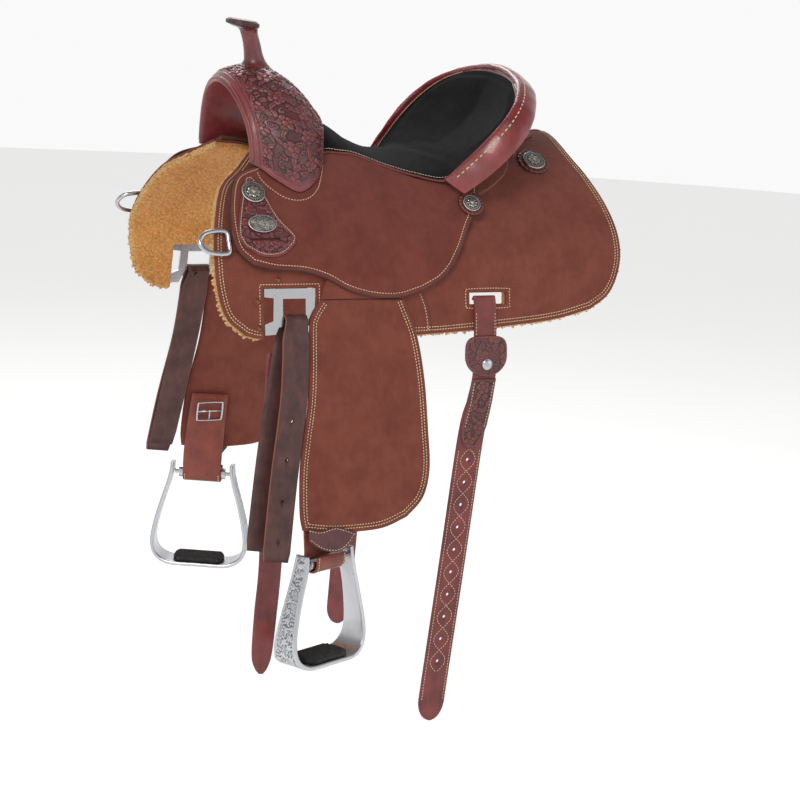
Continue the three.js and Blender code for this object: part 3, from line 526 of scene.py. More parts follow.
def sheet_body(outline, low, high, side, pitch=5.0, edge=2.0, carve=None, wave=0.25):
    """Points, faces and relief of a leather sheet on the arch, from low to high above it."""
    wide = max(lengths(spline(outline[k]))[-1] for k in ("top", "bottom"))
    tall = max(lengths(spline(outline[k]))[-1] for k in ("front", "rear"))
    us, vs = shares(wide, pitch, edge), shares(tall, pitch, edge)
    flat = coons(outline, us, vs)
    x, s = flat[..., 0], flat[..., 1]
    reach = edge_reach(us, vs, wide, tall)
    bottom = low(s) if callable(low) else np.full_like(s, low)
    top = high(s) if callable(high) else np.full_like(s, high)
    fall = 0.44 * (top - bottom) * rounded(reach, edge)
    lift = wave * waves(x, s) * smooth(0, 12, reach)
    relief = None
    if carve:
        carved = carve(x, s) * smooth(4, 7, reach)
        lift = lift + carved
        relief = stained_and_shaded(carved)
    points, faces = slab(on_arch(x, s, top - fall + lift, side), on_arch(x, s, bottom + fall, side))
    return points, faces, relief


# The looks use this relief for antique stain in engraved metal, and for painted highlight and painted shade
# on carved leather and round rivet heads.
def stain_and_shading(carved, gain=1.6, reach=2):
    """How far a carved height stands above its near surroundings, from 0 in creases to 1."""
    around = carved
    for axis in (0, 1):
        width = [(0, 0), (0, 0)]
        width[axis] = (reach, reach)
        padded = np.pad(around, width, mode="edge")
        steps = [np.take(padded, np.arange(k, k + carved.shape[axis]), axis) for k in range(2 * reach + 1)]
        around = sum(steps) / len(steps)
    return np.clip(0.46 + gain * (carved - around) + 0.15 * carved, 0, 1)


def stained_and_shaded(carved, gain=1.6):
    """Relief of a slab that is carved on top and plain underneath."""
    return np.concatenate([stain_and_shading(carved, gain).ravel(), np.ones(carved.size)])


def sheet(name, outline, low, high, side, look, body, slot=None, stands_for=(), **shape):
    points, faces, relief = sheet_body(outline, low, high, side, **shape)
    return make(name, points, faces, look, body, slot, stands_for, relief)


BLOCK_FACES = np.array([[0, 1, 3, 2], [4, 6, 7, 5], [0, 4, 5, 1], [2, 3, 7, 6], [0, 2, 6, 4], [1, 5, 7, 3]])


def cut_with(piece, *blocks):
    """Cuts square openings, each the eight corners of a block, through a piece."""
    for corners in blocks:
        cut(piece, corners, [BLOCK_FACES])


def cut(piece, points, faces):
    """Cuts a closed body, in millimetres, out of a piece."""
    mesh = bpy.data.meshes.new("opening")
    mesh.from_pydata((points * MM).tolist(), [], [row for f in faces for row in f.tolist()])
    work = bmesh.new()
    work.from_mesh(mesh)
    bmesh.ops.recalc_face_normals(work, faces=work.faces)
    work.to_mesh(mesh)
    work.free()
    tool = bpy.data.objects.new("opening", mesh)
    bpy.context.scene.collection.objects.link(tool)
    modifier = piece.modifiers.new("opening", "BOOLEAN")
    modifier.object = tool
    modifier.solver = "EXACT"
    apply_modifiers(piece)
    bpy.data.objects.remove(tool)


def apply_modifiers(piece):
    graph = bpy.context.evaluated_depsgraph_get()
    done = bpy.data.meshes.new_from_object(piece.evaluated_get(graph), depsgraph=graph)
    piece.modifiers.clear()
    old, piece.data = piece.data, done
    done.name = old.name


def block(xs, ss, ns, side):
    return np.array([on_arch(x, s, n, side) for x in xs for s in ss for n in ns])


# ---- Stitches ----
def sides_of(outline, parts):
    """An outline's sides as one line: front, then bottom, then rear upwards, then top forwards."""
    lines = []
    for key in parts:
        line = spline(outline[key])
        lines.append(line if key in ("front", "bottom") else line[::-1])
    return np.concatenate(lines)


OUTER = ("front", "bottom", "rear")


def inset_line(line, by, inside):
    """A line moved sideways towards a point inside, without the loops that corners leave."""
    line = even(line, 2.0)
    run = unit(np.gradient(line, axis=0))
    across = np.stack([-run[:, 1], run[:, 0]], -1)
    toward = np.sign(np.sum(across * (np.asarray(inside) - line), -1).sum()) or 1
    moved = line + by * toward * across
    gap = np.linalg.norm(moved[:, None] - line[None], axis=-1).min(1)
    return moved[gap > by - 0.4]


def stitch_body(line, normals, pitch, long, wide, high):
    run = lengths(line)
    count = max(1, int(run[-1] / pitch))
    at = (np.arange(count) + 0.5) * run[-1] / count
    spots = np.stack([np.interp(at, run, line[:, k]) for k in range(3)], -1)
    out = unit(np.stack([np.interp(at, run, normals[:, k]) for k in range(3)], -1))
    ahead = unit(np.stack([np.interp(at + 1, run, line[:, k]) for k in range(3)], -1)
                 - np.stack([np.interp(at - 1, run, line[:, k]) for k in range(3)], -1))
    across = unit(np.cross(out, ahead))
    steps = np.array([-1, -0.82, 0, 0.82, 1])
    girth = np.array([0.3, 0.8, 1, 0.8, 0.3])
    angle = np.arange(6) * TAU / 6
    t, a = np.meshgrid(np.arange(5), angle, indexing="ij")
    local = np.stack([steps[t] * long / 2, girth[t] * np.cos(a) * wide / 2,
                      girth[t] * np.sin(a) * high - 0.35 * high * np.abs(steps[t])**3], -1).reshape(-1, 3)
    basis = np.stack([ahead, across, out], 1)
    points = spots[:, None] + np.einsum("vk,skd->svd", local, basis)
    quads = grid_faces(5, 6, True)
    caps = np.array([[5, 4, 3, 2, 1, 0], [24, 25, 26, 27, 28, 29]])
    shift = (np.arange(count) * 30)[:, None, None]
    return points.reshape(-1, 3), [(quads[None] + shift).reshape(-1, 4), (caps[None] + shift).reshape(-1, 6)]


def stitches(name, lines, body, pitch=4.6, long=2.9, wide=1.6, high=0.8):
    """Rows of stitches as one piece; each row is (points, normals)."""
    bodies = [stitch_body(line, normals, pitch, long, wide, high) for line, normals in lines]
    points, faces = joined(bodies)
    return make(name, points, faces, "thread", body)


def row_on_arch(flat, n, side):
    """A stitch row from x and s on the arch, at a height that may depend on s."""
    height = n(flat[:, 1]) if callable(n) else n
    return on_arch(flat[:, 0], flat[:, 1], height, side), out_of_arch(flat[:, 1], side)


# ---- Straps and tubes ----
def strap_section(half, thick, edge):
    """A flat section with rounded edges: across and out, once round."""
    a = np.linspace(0, math.pi / 2, 4)
    e = min(edge, half * 0.8)
    bow = np.linspace(-(half - e), half - e, 9)
    right = np.stack([half - e + e * np.sin(a), thick / 2 * np.cos(a)], -1)
    top = np.stack([bow, np.full(9, thick / 2)], -1)
    side = np.concatenate([top[:-1], right])
    return np.concatenate([side, (side * [-1, -1])])


STRAP_STEPS = 24
RAW_STEPS = (9, 10, 21, 22)


def raw_edges(piece):
    """Marks a strap's cut edges, which are browner than its faces."""
    stored = piece.data.attributes.new("raw", "FLOAT", "POINT")
    around = np.arange(len(piece.data.vertices)) % STRAP_STEPS
    stored.data.foreach_set("value", np.isin(around, RAW_STEPS).astype(np.float32))
    return piece


def strap(path, widths, thick, across, edge=1.8):
    """Rings of a strap along a path; across is one direction, or one for each point."""
    path = np.asarray(path, float)
    run = unit(np.gradient(path, axis=0))
    across = np.broadcast_to(np.asarray(across, float), path.shape)
    across = unit(across - np.sum(across * run, -1, keepdims=True) * run)
    out = np.cross(run, across)
    rings = []
    for k, width in enumerate(np.broadcast_to(widths, len(path))):
        section = strap_section(width / 2, thick, edge)
        rings.append(path[k] + section[:, :1] * across[k] + section[:, 1:] * out[k])
    return loft(rings)


def tube(line, radius, sides=8, loop=False):
    line = np.asarray(line, float)
    run = unit(np.roll(line, -1, 0) - np.roll(line, 1, 0) if loop else np.gradient(line, axis=0))
    guide = np.array([0.13, 0.27, 0.95])
    across = unit(np.cross(run, guide))
    out = np.cross(run, across)
    angle = np.arange(sides) * TAU / sides
    radius = np.broadcast_to(radius, len(line))[:, None, None]
    circle = np.cos(angle)[None, :, None] * across[:, None] + np.sin(angle)[None, :, None] * out[:, None]
    rings = line[:, None] + radius * circle
    if not loop:
        return loft(rings)
    rows = len(line)
    faces = grid_faces(rows + 1, sides, True) % (rows * sides)
    return rings.reshape(-1, 3), [faces]


def frame_on_arch(x, s, n, side):
    """Centre, rearward, downward and outward directions at a place on the arch."""
    centre = on_arch(x, s, n, side)
    out = out_of_arch(np.asarray(float(s)), side)
    down = unit(on_arch(x, s + 1, n, side) - on_arch(x, s - 1, n, side))
    return centre, np.cross(down, out) * side, down, out


def dome_body(basis, rx, ry, height, rings=14, steps=48, outline=None):
    """A round or oval ornament on a flat base: height(share, angle) stands out of it."""
    centre, right, down, out = basis
    share = np.concatenate([[0.002], np.linspace(0.06, 1, rings)])
    angle = np.arange(steps) * TAU / steps
    r, a = np.meshgrid(share, angle, indexing="ij")
    lift = height(r, a)
    reach = r * (outline(a) if outline else 1)
    flat = (rx * reach * np.cos(a))[..., None] * right + (ry * reach * np.sin(a))[..., None] * down
    top = centre + flat + lift[..., None] * out
    base = centre + flat[-1:]
    points, faces = loft(np.concatenate([top, base]))
    # Relief for the looks: antique stain on silver, painted highlight and shade on carved leather, a painted
    # shade ring on rivets.
    relief = np.concatenate([stain_and_shading(lift - 0.85 * lift.max(), 2.6).ravel(), np.full(steps + 2, 0.55)])
    return points, faces, relief


def ornament(name, basis, rx, ry, height, look, body, slot=None, stands_for=(), **shape):
    points, faces, relief = dome_body(basis, rx, ry, height, **shape)
    return make(name, points, faces, look, body, slot, stands_for, relief)


# ---- Carving ----
def flower(dx, dy, radius, turn):
    """Height of a five-petalled flower: cupped petals, parting lines and a beaded heart."""
    r = np.hypot(dx, dy)
    a = np.arctan2(dy, dx) + turn
    lobe = 0.5 + 0.5 * np.cos(5 * a)
    share = r / (radius * (0.74 + 0.26 * np.sqrt(lobe)))
    petal = smooth(1.0, 0.84, share) * (0.45 + 0.75 * share**2)
    parting = np.exp(-((1 - lobe) - 1)**2 / 0.012) * smooth(0.25, 0.4, share)
    veins = 0.16 * np.cos(25 * a) * smooth(0.35, 0.8, share)
    heart = smooth(0.34, 0.26, r / radius) * (0.9 + 0.25 * np.cos(9 * a) * smooth(0.1, 0.24, r / radius))
    return np.where(share < 1, np.maximum(petal - 0.6 * parting + veins, heart), 0)


def leaf(dx, dy, angle, long, wide):
    """Height of a pointed leaf that starts at a point and runs at an angle."""
    u = (dx * math.cos(angle) + dy * math.sin(angle)) / long
    v = -dx * math.sin(angle) + dy * math.cos(angle)
    v = v - wide * 0.45 * np.sin(math.pi * np.clip(u, 0, 1))
    half = wide * np.sin(math.pi * np.clip(u, 0, 1)**0.8)**0.8 * (1 + 0.09 * np.cos(26 * u))
    share = np.abs(v) / np.maximum(half, 0.01)
    body = smooth(1.0, 0.75, share) * (0.35 + 0.55 * share)
    veins = 0.14 * np.cos(30 * u - 5 * share)
    return np.where((u > 0) & (u < 1) & (share < 1), body + veins, 0)


def curl(dx, dy, angle, size):
    """Height of a scroll that winds out of a small round bud."""
    r = np.hypot(dx, dy)
    a = np.arctan2(dy, dx) - angle
    turns = np.log(np.maximum(r, 0.3) / (0.16 * size)) / 0.28
    phase = np.abs(((a - turns + math.pi) % TAU) - math.pi)
    ribbon = smooth(1.15, 0.75, phase) * smooth(size, size * 0.8, r) * smooth(0.18 * size, 0.3 * size, r)
    return np.maximum(ribbon * 0.75, smooth(0.24 * size, 0.16 * size, r) * 0.9)


def floral(p, q, cell=52.0, seed=3):
    """Carved flowers, leaves and scrolls over a flat pattern, in millimetres above the ground."""
    height = np.zeros_like(p)
    rows = range(int(q.min() // (cell * 0.86)) - 1, int(q.max() // (cell * 0.86)) + 2)
    columns = range(int(p.min() // cell) - 1, int(p.max() // cell) + 2)
    for row in rows:
        for column in columns:
            turn = 1.9 * math.sin(seed + 12.9 * column + 78.2 * row)
            cx = (column + 0.5 * (row % 2)) * cell + 3 * math.sin(5.1 * column + row + seed)
            cy = row * cell * 0.86 + 3 * math.cos(3.7 * row - column + seed)
            near = np.hypot(p - cx, q - cy) < cell * 0.8
            if not near.any():
                continue
            dx, dy = p[near] - cx, q[near] - cy
            made = flower(dx, dy, cell * 0.31, turn)
            for k in range(6):
                angle = turn + TAU * (k + 0.5) / 6
                sx, sy = cell * 0.27 * math.cos(angle), cell * 0.27 * math.sin(angle)
                if k % 2:
                    part = leaf(dx - sx, dy - sy, angle + 0.5, cell * 0.36, cell * 0.085)
                else:
                    part = curl(dx - 1.6 * sx, dy - 1.6 * sy, angle, cell * 0.15)
                made = np.where(made > 0, made, part)
            height[near] = np.maximum(height[near], made)
    return height * 1.25 - 0.5


def scroll_engraving(p, q, cell=15.0):
    """Shallow engraved scrolls for metal, in millimetres."""
    return 0.42 * floral(p, q, cell, 7)


# ---- Skirts, fleece, jockeys ----
SKIRT = {
    "top": [(-243, 84), (-190, 94), (-120, 122), (0, 130), (110, 125), (165, 102), (205, 58),
            (242, 8), (302, 6)],
    "front": [(-243, 84), (-271, 119), (-307, 160), (-331, 237), (-336, 300), (-322, 366), (-289, 398)],
    "bottom": [(-289, 398), (-240, 404), (0, 402), (135, 393), (230, 383.5), (296, 368)],
    "rear": [(302, 6), (311, 81), (328, 136), (345, 195), (353, 250), (348, 305), (329, 345), (296, 368)],
}
JOCKEY = {
    "top": [(-241, 126), (-205, 128), (-160, 122), (-126, 102), (-80, 104), (-32, 127), (15, 150),
            (48, 157), (78, 165), (118, 170)],
    "front": [(-241, 126), (-281, 147), (-300, 190), (-306, 235), (-301, 270), (-280, 290)],
    "bottom": [(-280, 290), (-245, 297), (-197, 301), (-160, 312), (-125, 330), (-84, 341),
               (-42, 343), (0, 332)],
    "rear": [(118, 170), (106, 203), (85, 237), (64, 275), (35, 312), (0, 332)],
}
PATCH = {
    "top": [(-270, 151), (-258, 148)],
    "front": [(-270, 151), (-284, 188), (-295, 225), (-299, 250), (-291, 268)],
    "bottom": [(-291, 268), (-262, 281), (-232, 279), (-210, 264)],
    "rear": [(-258, 148), (-243, 186), (-229, 222), (-207, 250), (-210, 264)],
}
FENDER = {
    "top": [(-168.5, 346), (-31, 346)],
    "front": [(-168.5, 346), (-183, 368), (-188, 387), (-189, 448), (-192, 503), (-201, 560), (-207, 608),
              (-208, 670), (-204, 697)],
    "bottom": [(-204, 697), (-158, 703), (-117, 703), (-70, 699), (-30, 684)],
    "rear": [(-31, 346), (-9, 402), (3, 471), (8, 547), (10, 611), (-2, 655), (-30, 684)],
}
UPPER_LEATHER = {
    "top": [(-150, 300), (-60, 306), (-29, 320)],
    "front": [(-150, 300), (-160, 318), (-168, 345)],
    "bottom": [(-168, 345), (-31, 345)],
    "rear": [(-29, 320), (-30, 332), (-31, 345)],
}
HOBBLE = {
    "top": [(-195, 694), (-175, 698), (-150, 693), (-118, 703)],
    "front": [(-195, 694), (-195, 714)],
    "bottom": [(-195, 714), (-174, 728), (-150, 732), (-132, 724), (-118, 707)],
    "rear": [(-118, 703), (-118, 707)],
}
HOUSING = {
    "top": [(48, 150), (112, 108), (152, 76), (198, 42)],
    "front": [(48, 150), (60, 172)],
    "bottom": [(60, 172), (90, 180), (124, 177), (152, 160)],
    "rear": [(198, 42), (197, 90), (182, 132), (152, 160)],
}
JOCKEY_T = 4.2
WINDOW_X, WINDOW_S = (-260, -175), (327, 420)
WINDOW_TOP = 320
BILLET_SLOT_X, BILLET_SLOT_S = (83, 146), (339, 357)
FLEECE_TOP, FLEECE_UNDER = -5.35, -15.6
FRINGE_LAYERS, FRINGE_SEED = (-7.4, -10.2, -13.0), 11
SKIRT_MIDDLE = np.array([0.0, 230.0])
SKIRT_SEAM = np.array([(-2.0, 338), (4, 352), (9, 370), (12, 396)])
ROUND_SWELL = [(-246, 140), (-242, 156), (-230, 172), (-212, 187), (-191, 192), (-171, 187), (-154, 171),
               (-142, 146), (-134, 126)]


def jockey_under(s):
    return 8.8 + (7 - 8.8) * smooth(185, 260, s)


def jockey_top(s):
    return jockey_under(s) + JOCKEY_T


def beveled(xs, ss, by):
    """The eight corners of a line round a rectangle, at a distance from it."""
    (x0, x1), (s0, s1) = xs, ss
    return [(x0 - by, s0), (x0, s0 - by), (x1, s0 - by), (x1 + by, s0), (x1 + by, s1), (x1, s1 + by),
            (x0, s1 + by), (x0 - by, s1)]


def outside_window(line, by):
    """The part of a line along the skirt's edge that the rigging window leaves."""
    x, s = line.T
    return line[(x <= WINDOW_X[0] - by) | (x >= WINDOW_X[1] + by) | (s <= WINDOW_TOP)]


def slots_through(side):
    return [block(WINDOW_X, WINDOW_S, (-25, 8), side), block(BILLET_SLOT_X, BILLET_SLOT_S, (-25, 8), side)]


def make_skirt(side, side_name):
    skirt = sheet(f"skirt_leather_{side_name}", SKIRT, -5, 0, side, "roughout", "saddle", "roughout_leather",
                  [f"skirt_{side_name}"], pitch=6.5, edge=2.4, wave=0.35)
    cut_with(skirt, *slots_through(side))
    rows = []
    for inset in (6.0, 10.5):
        line = outside_window(inset_line(sides_of(SKIRT, OUTER), inset, SKIRT_MIDDLE), 2)
        breaks = np.where(np.linalg.norm(np.diff(line, axis=0), axis=1) > 12)[0] + 1
        rows += [row_on_arch(part, 0.35, side) for part in np.split(line, breaks) if len(part) > 3]
    by = 6
    round_slot = spline(beveled(BILLET_SLOT_X, BILLET_SLOT_S, by), 8, loop=True)
    rows.append(row_on_arch(round_slot, 0.25, side))
    (x0, x1), top, low = WINDOW_X, WINDOW_S[0] - by, 392.0
    round_window = even(np.array([(x0 - by, low), (x0 - by, top), (x1 + by, top), (x1 + by, low)]), 4)
    rows.append(row_on_arch(round_window, 0.25, side))
    rows.append(row_on_arch(spline(SKIRT_SEAM), 0.25, side))
    stitches(f"skirt_stitches_{side_name}", rows, "saddle")
    points, _ = row_on_arch(spline(SKIRT_SEAM + [6, 0]), -0.5, side)
    make(f"skirt_seam_{side_name}", *tube(points, 0.9, 6), "edge", "saddle")


def fleece_curls(x, s):
    """Knobbly wool: two sizes of curl, in millimetres."""
    big = np.sin(x / 2.3 + 1.7 * np.sin(s / 5.1)) * np.sin(s / 2.2 + 1.6 * np.sin(x / 4.7))
    small = np.sin(x / 1.13 + s / 2.9) * np.sin(s / 1.21 - x / 3.3)
    return 1.1 * big + 0.45 * small


def make_fleece(side, side_name):
    wide, tall = 640, 300
    us, vs = np.linspace(0, 1, int(wide / 2.4)), np.linspace(0, 1, int(tall / 2.4))
    flat = coons(SKIRT, us, vs)
    x, s = flat[..., 0], flat[..., 1]
    reach = edge_reach(us, vs, wide, tall)
    under = FLEECE_UNDER + fleece_curls(x, s) + 3.5 * rounded(reach, 9)
    top = np.full_like(under, FLEECE_TOP)
    points, faces = slab(on_arch(x, s, top, side), on_arch(x, s, under, side))
    fleece = make(f"fleece_lining_{side_name}", points, faces, "fleece", "saddle", "fleece",
                  [f"fleece_{side_name}"])
    cut_with(fleece, *slots_through(side))
    make_fringe(side, side_name)


def make_fringe(side, side_name):
    """Tufts of wool that stand out round the skirt's edge."""
    line = outside_window(even(sides_of(SKIRT, OUTER), 4.2), 3)
    rng = np.random.default_rng(FRINGE_SEED)
    bodies = []
    for n in FRINGE_LAYERS:
        for spot in line + rng.normal(0, 0.9, line.shape):
            bodies.append(tuft_body(spot, n + rng.normal(0, 0.5), side, rng))
    make(f"fleece_fringe_{side_name}", *joined(bodies), "fringe", "saddle", "fleece")


def tuft_body(spot, n, side, rng):
    out = unit(spot - SKIRT_MIDDLE)
    start = spot - 5.5 * out
    tip = spot + (1.2 + 1.3 * rng.random()) * out + rng.normal(0, 1.0, 2)
    line = np.linspace(start, tip, 4)
    sag = n + np.array([0, 0.4, 0.2, -1.0]) * rng.normal(1, 0.5)
    points = on_arch(line[:, 0], line[:, 1], sag, side)
    return tube(points, np.array([1.8, 2.4, 2.3, 1.4]), 6)


def make_jockey(side, side_name):
    sheet(f"seat_jockey_leather_{side_name}", JOCKEY, jockey_under, jockey_top, side, "jockey", "saddle",
          "roughout_leather", [f"seat_jockey_{side_name}"], pitch=5.5, edge=2.2, wave=0.3)
    rows = []
    line = inset_line(sides_of(JOCKEY, OUTER), 6.0, (-90, 220))
    rows.append(row_on_arch(line, lambda s: jockey_top(s) + 0.3, side))
    rows.append(row_on_arch(spline(ROUND_SWELL), lambda s: jockey_top(s) + 0.3, side))
    stitches(f"jockey_stitches_{side_name}", rows, "saddle", wide=1.5)
    points, _ = row_on_arch(even(sides_of(JOCKEY, OUTER), 5), lambda s: jockey_under(s) + JOCKEY_T / 2, side)
    make(f"jockey_edge_{side_name}", *tube(points, 1.75, 8), "edge", "saddle")


def patch_top(s):
    return jockey_top(s) + 3


def make_patch(side, side_name):
    patch = sheet(f"keeper_leather_{side_name}", PATCH, lambda s: jockey_top(s) + 0.35, patch_top, side,
                  "tooled", "saddle", "tooled_leather", [f"keeper_patch_{side_name}"], pitch=1.1, edge=1.4,
                  carve=lambda x, s: 0.95 * floral(x, s, 30.0, 5), wave=0.1)
    cut_with(patch, block((-281, -233), (255, 258.5), (jockey_top(255) + 0.2, 20), side))
    whole = sides_of(PATCH, (*OUTER, "top"))
    line = inset_line(whole, 3.6, (-255, 225))
    line = np.concatenate([line, line[:1]])
    stitches(f"keeper_stitches_{side_name}", [row_on_arch(line, lambda s: patch_top(s) + 0.4, side)],
             "saddle", pitch=3.9, long=2.5, wide=1.3)


# ---- Swell, horn, seat and cantle ----
SWELL_RINGS = np.array([
    (-262, -248, 113, 52, 160), (-266, -251, 124, 49.5, 168), (-259, -241, 132, 44, 179),
    (-238, -222, 146, 30, 187), (-205, -192, 161, 13, 190), (-175, -172, 158, 16, 179),
    (-147, -152, 146, 29, 159), (-122, -142, 134, 42, 132), (-107, -136, 122, 51, 112),
    (-122, -148, 112, 54, 97), (-180, -192, 110, 54, 146)], float)
CREST_RING, SWELL_TALL = 4, 230
CARVED_FROM, CARVED_TO = 1.95, 7.8


def make_swell():
    around, along = 300, 520
    ring = spline(SWELL_RINGS, 20, loop=True)[:-1]
    index = np.linspace(0, len(ring), around, endpoint=False)
    k = np.arange(len(ring) + 1)
    section = np.stack([np.interp(index, k, np.append(ring[:, j], ring[0, j])) for j in range(5)], -1)
    turn = np.linspace(-math.pi / 2, math.pi / 2, along)[:, None]
    sine, cosine = np.sin(turn), np.cos(turn)
    x = section[:, 0] + (section[:, 1] - section[:, 0]) * sine**2
    points = np.stack([x, section[:, 2] * sine, section[:, 3] + (section[:, 4] - section[:, 3]) * cosine], -1)
    normal = unit(np.cross(np.roll(points, -1, 1) - np.roll(points, 1, 1), np.gradient(points, axis=0)))
    middle = points.mean(1, keepdims=True)
    normal *= np.sign(np.sum(normal * (points - middle), -1).sum())
    share = index / len(ring) * len(SWELL_RINGS)
    crest = int(np.argmin(np.abs(share - CREST_RING)))
    step = np.linalg.norm(np.diff(points, axis=1, append=points[:, :1]), axis=-1)
    q = np.cumsum(step, 1)
    q -= q[:, crest:crest + 1]
    p = np.broadcast_to(lengths(points[:, crest])[:, None], q.shape) - lengths(points[:, crest])[-1] / 2
    foot = (1 - np.abs(turn) / (math.pi / 2)) * SWELL_TALL
    field = smooth(CARVED_FROM + 0.1, CARVED_FROM + 0.35, share)
    field = field * smooth(CARVED_TO - 0.1, CARVED_TO - 0.35, share)
    mask = field * smooth(9, 12, foot)
    carved = 1.75 * floral(p + 17, q + 8, 47.0, 2)
    groove = -0.7 * sum(np.exp(-((share - line) / 0.07)**2) for line in (CARVED_FROM, CARVED_TO))
    groove = groove - 0.6 * np.exp(-((foot - 8) / 1.0)**2) * field
    lift = carved * mask + groove
    points = points + lift[..., None] * normal
    # Outside the carving, the relief darkens the border grooves: partly dark stain, partly painted shade.
    relief = stain_and_shading(carved) * mask + (0.62 + 0.4 * groove) * (1 - mask)
    body_points, faces = loft(points)
    relief = np.concatenate([relief.ravel(), [0.5, 0.5]])
    make("swell_leather", body_points, faces, "tooled", "saddle", "tooled_leather",
         ["swell_cover", "tree_fork"], np.clip(relief, 0, 1))
    welt = tube(points[6:-6:4, int(around * 1.15 / 11)], 1.7, 8)
    make("swell_welt", *welt, "binding", "saddle")


HORN_RINGS = [(-206, 184.5, 28, 0.12), (-207, 189, 22.5, 0.08), (-208.5, 194, 18.4, 0.03), (-210, 200, 16, 0),
              (-212.5, 210, 14.6, 0.02), (-215, 222, 14, 0.05), (-218, 232, 13.8, 0.08),
              (-221, 241, 14.4, 0.12), (-224, 247, 17, 0.12)]


def lean_ring(x, z, radius, tilt, steps=40):
    a = np.arange(steps) * TAU / steps
    return np.stack([x + radius * np.cos(a), radius * np.sin(a), z - radius * np.cos(a) * tilt], -1)


CAP_TILT = 0.12
CAP_RINGS = [(-225, 245.4, 16), (-228, 247.6, 20.5), (-231, 250.6, 25), (-231.6, 256.6, 25.2),
             (-232, 258.2, 23.6), (-232, 259.2, 20), (-232, 259.8, 12), (-232, 260, 3)]
CAP_RIM = [(-231.4, 250.4, 24.4), (-231.4, 250.6, 26.2), (-231.5, 253.0, 26.7), (-231.6, 253.3, 26.1),
           (-231.6, 253.6, 26.7), (-231.8, 256.2, 26.5), (-231.8, 256.7, 25.6), (-231.8, 256.8, 24.4)]


def make_horn():
    rings = spline(HORN_RINGS, 6)
    neck = loft([lean_ring(*ring) for ring in rings])
    make("horn_neck_wrap", *neck, "horn", "saddle", "tooled_leather", ["horn_neck"])
    seam = np.array([lean_ring(*ring)[20] + [-0.4, 0, 0] for ring in rings[14:-8]])
    out = np.tile([-1.0, 0, 0.1], (len(seam), 1))
    stitches("horn_seam", [(seam, out)], "saddle", pitch=4.2, long=3.2, wide=1.0)
    cap, rim = (loft([lean_ring(*ring, CAP_TILT, 56) for ring in rings]) for rings in (CAP_RINGS, CAP_RIM))
    make("horn_cap_leather", *cap, "horn", "saddle", "strap_leather", ["horn_cap"])
    make("horn_cap_rim", *rim, "horn_edge", "saddle")
    row = lean_ring(-232, 259.0, 21.8, CAP_TILT, 120)
    row = np.concatenate([row, row[:1]])
    up = np.tile([CAP_TILT, 0, 0.99], (len(row), 1))
    stitches("horn_cap_stitches", [(row, up)], "saddle", pitch=4.0, long=2.9, wide=0.8)


SEAT_RIBS = np.array([
    (-120, 91, -140, 97, 61), (-97, 101, -121, 100, 66), (-76, 91, -102, 103, 65), (-49, 75, -76, 106, 63),
    (-5, 59, -32, 125, 48), (45, 56, 15, 143, 35), (90, 60, 60, 157, 29), (126, 72, 87, 171, 54),
    (156, 94, 119, 182, 90), (181, 124, 152, 178, 126), (194, 157, 179, 147, 156),
    (204, 187, 199, 87, 177)], float)
SEAT_THICK, SEAT_THINNING = 12.0, 7.0


def seat_points(rows=84, cols=96, inset=0.02):
    """The seat's surface, from front to back and from the near edge to the off edge."""
    rib = at_shares(spline(SEAT_RIBS, 14), np.linspace(0, 1, rows))
    cx, cz, ex, ey, ez = (rib[:, k][:, None] for k in range(5))
    t = np.linspace(-1, 1, cols)[None] * (1 - inset)
    a, b, c = (1 - np.abs(t))**2, 2 * np.abs(t) * (1 - np.abs(t)), t**2
    x = a * cx + b * (cx + ex) / 2 + c * ex
    y = np.sign(t) * (b * ey * 0.62 + c * ey)
    return np.stack([x, y, a * cz + b * cz + c * ez], -1), np.abs(t) / (1 - inset)


def puff(piece, pinned, limit, pressure=3.0, frames=16):
    """Swells a closed pad by cloth simulation, with its edge held, and keeps it within a limit."""
    start = np.array([v.co for v in piece.data.vertices])
    group = piece.vertex_groups.new(name="held")
    for index, weight in enumerate(pinned):
        group.add([index], float(weight), "REPLACE")
    cloth = piece.modifiers.new("cloth", "CLOTH")
    cloth.settings.use_pressure = True
    cloth.settings.uniform_pressure_force = pressure
    cloth.settings.vertex_group_mass = "held"
    cloth.settings.effector_weights.gravity = 0
    cloth.settings.quality = 5
    cloth.settings.tension_stiffness = cloth.settings.compression_stiffness = 30
    scene = bpy.context.scene
    for step in range(1, frames + 1):
        scene.frame_set(step)
    apply_modifiers(piece)
    scene.frame_set(1)
    moved = np.array([v.co for v in piece.data.vertices]) - start
    far = np.linalg.norm(moved, axis=1, keepdims=True)
    kept = start + moved * np.minimum(1, limit * MM / np.maximum(far, 1e-9))
    piece.data.vertices.foreach_set("co", kept.ravel())
    piece.data.update()


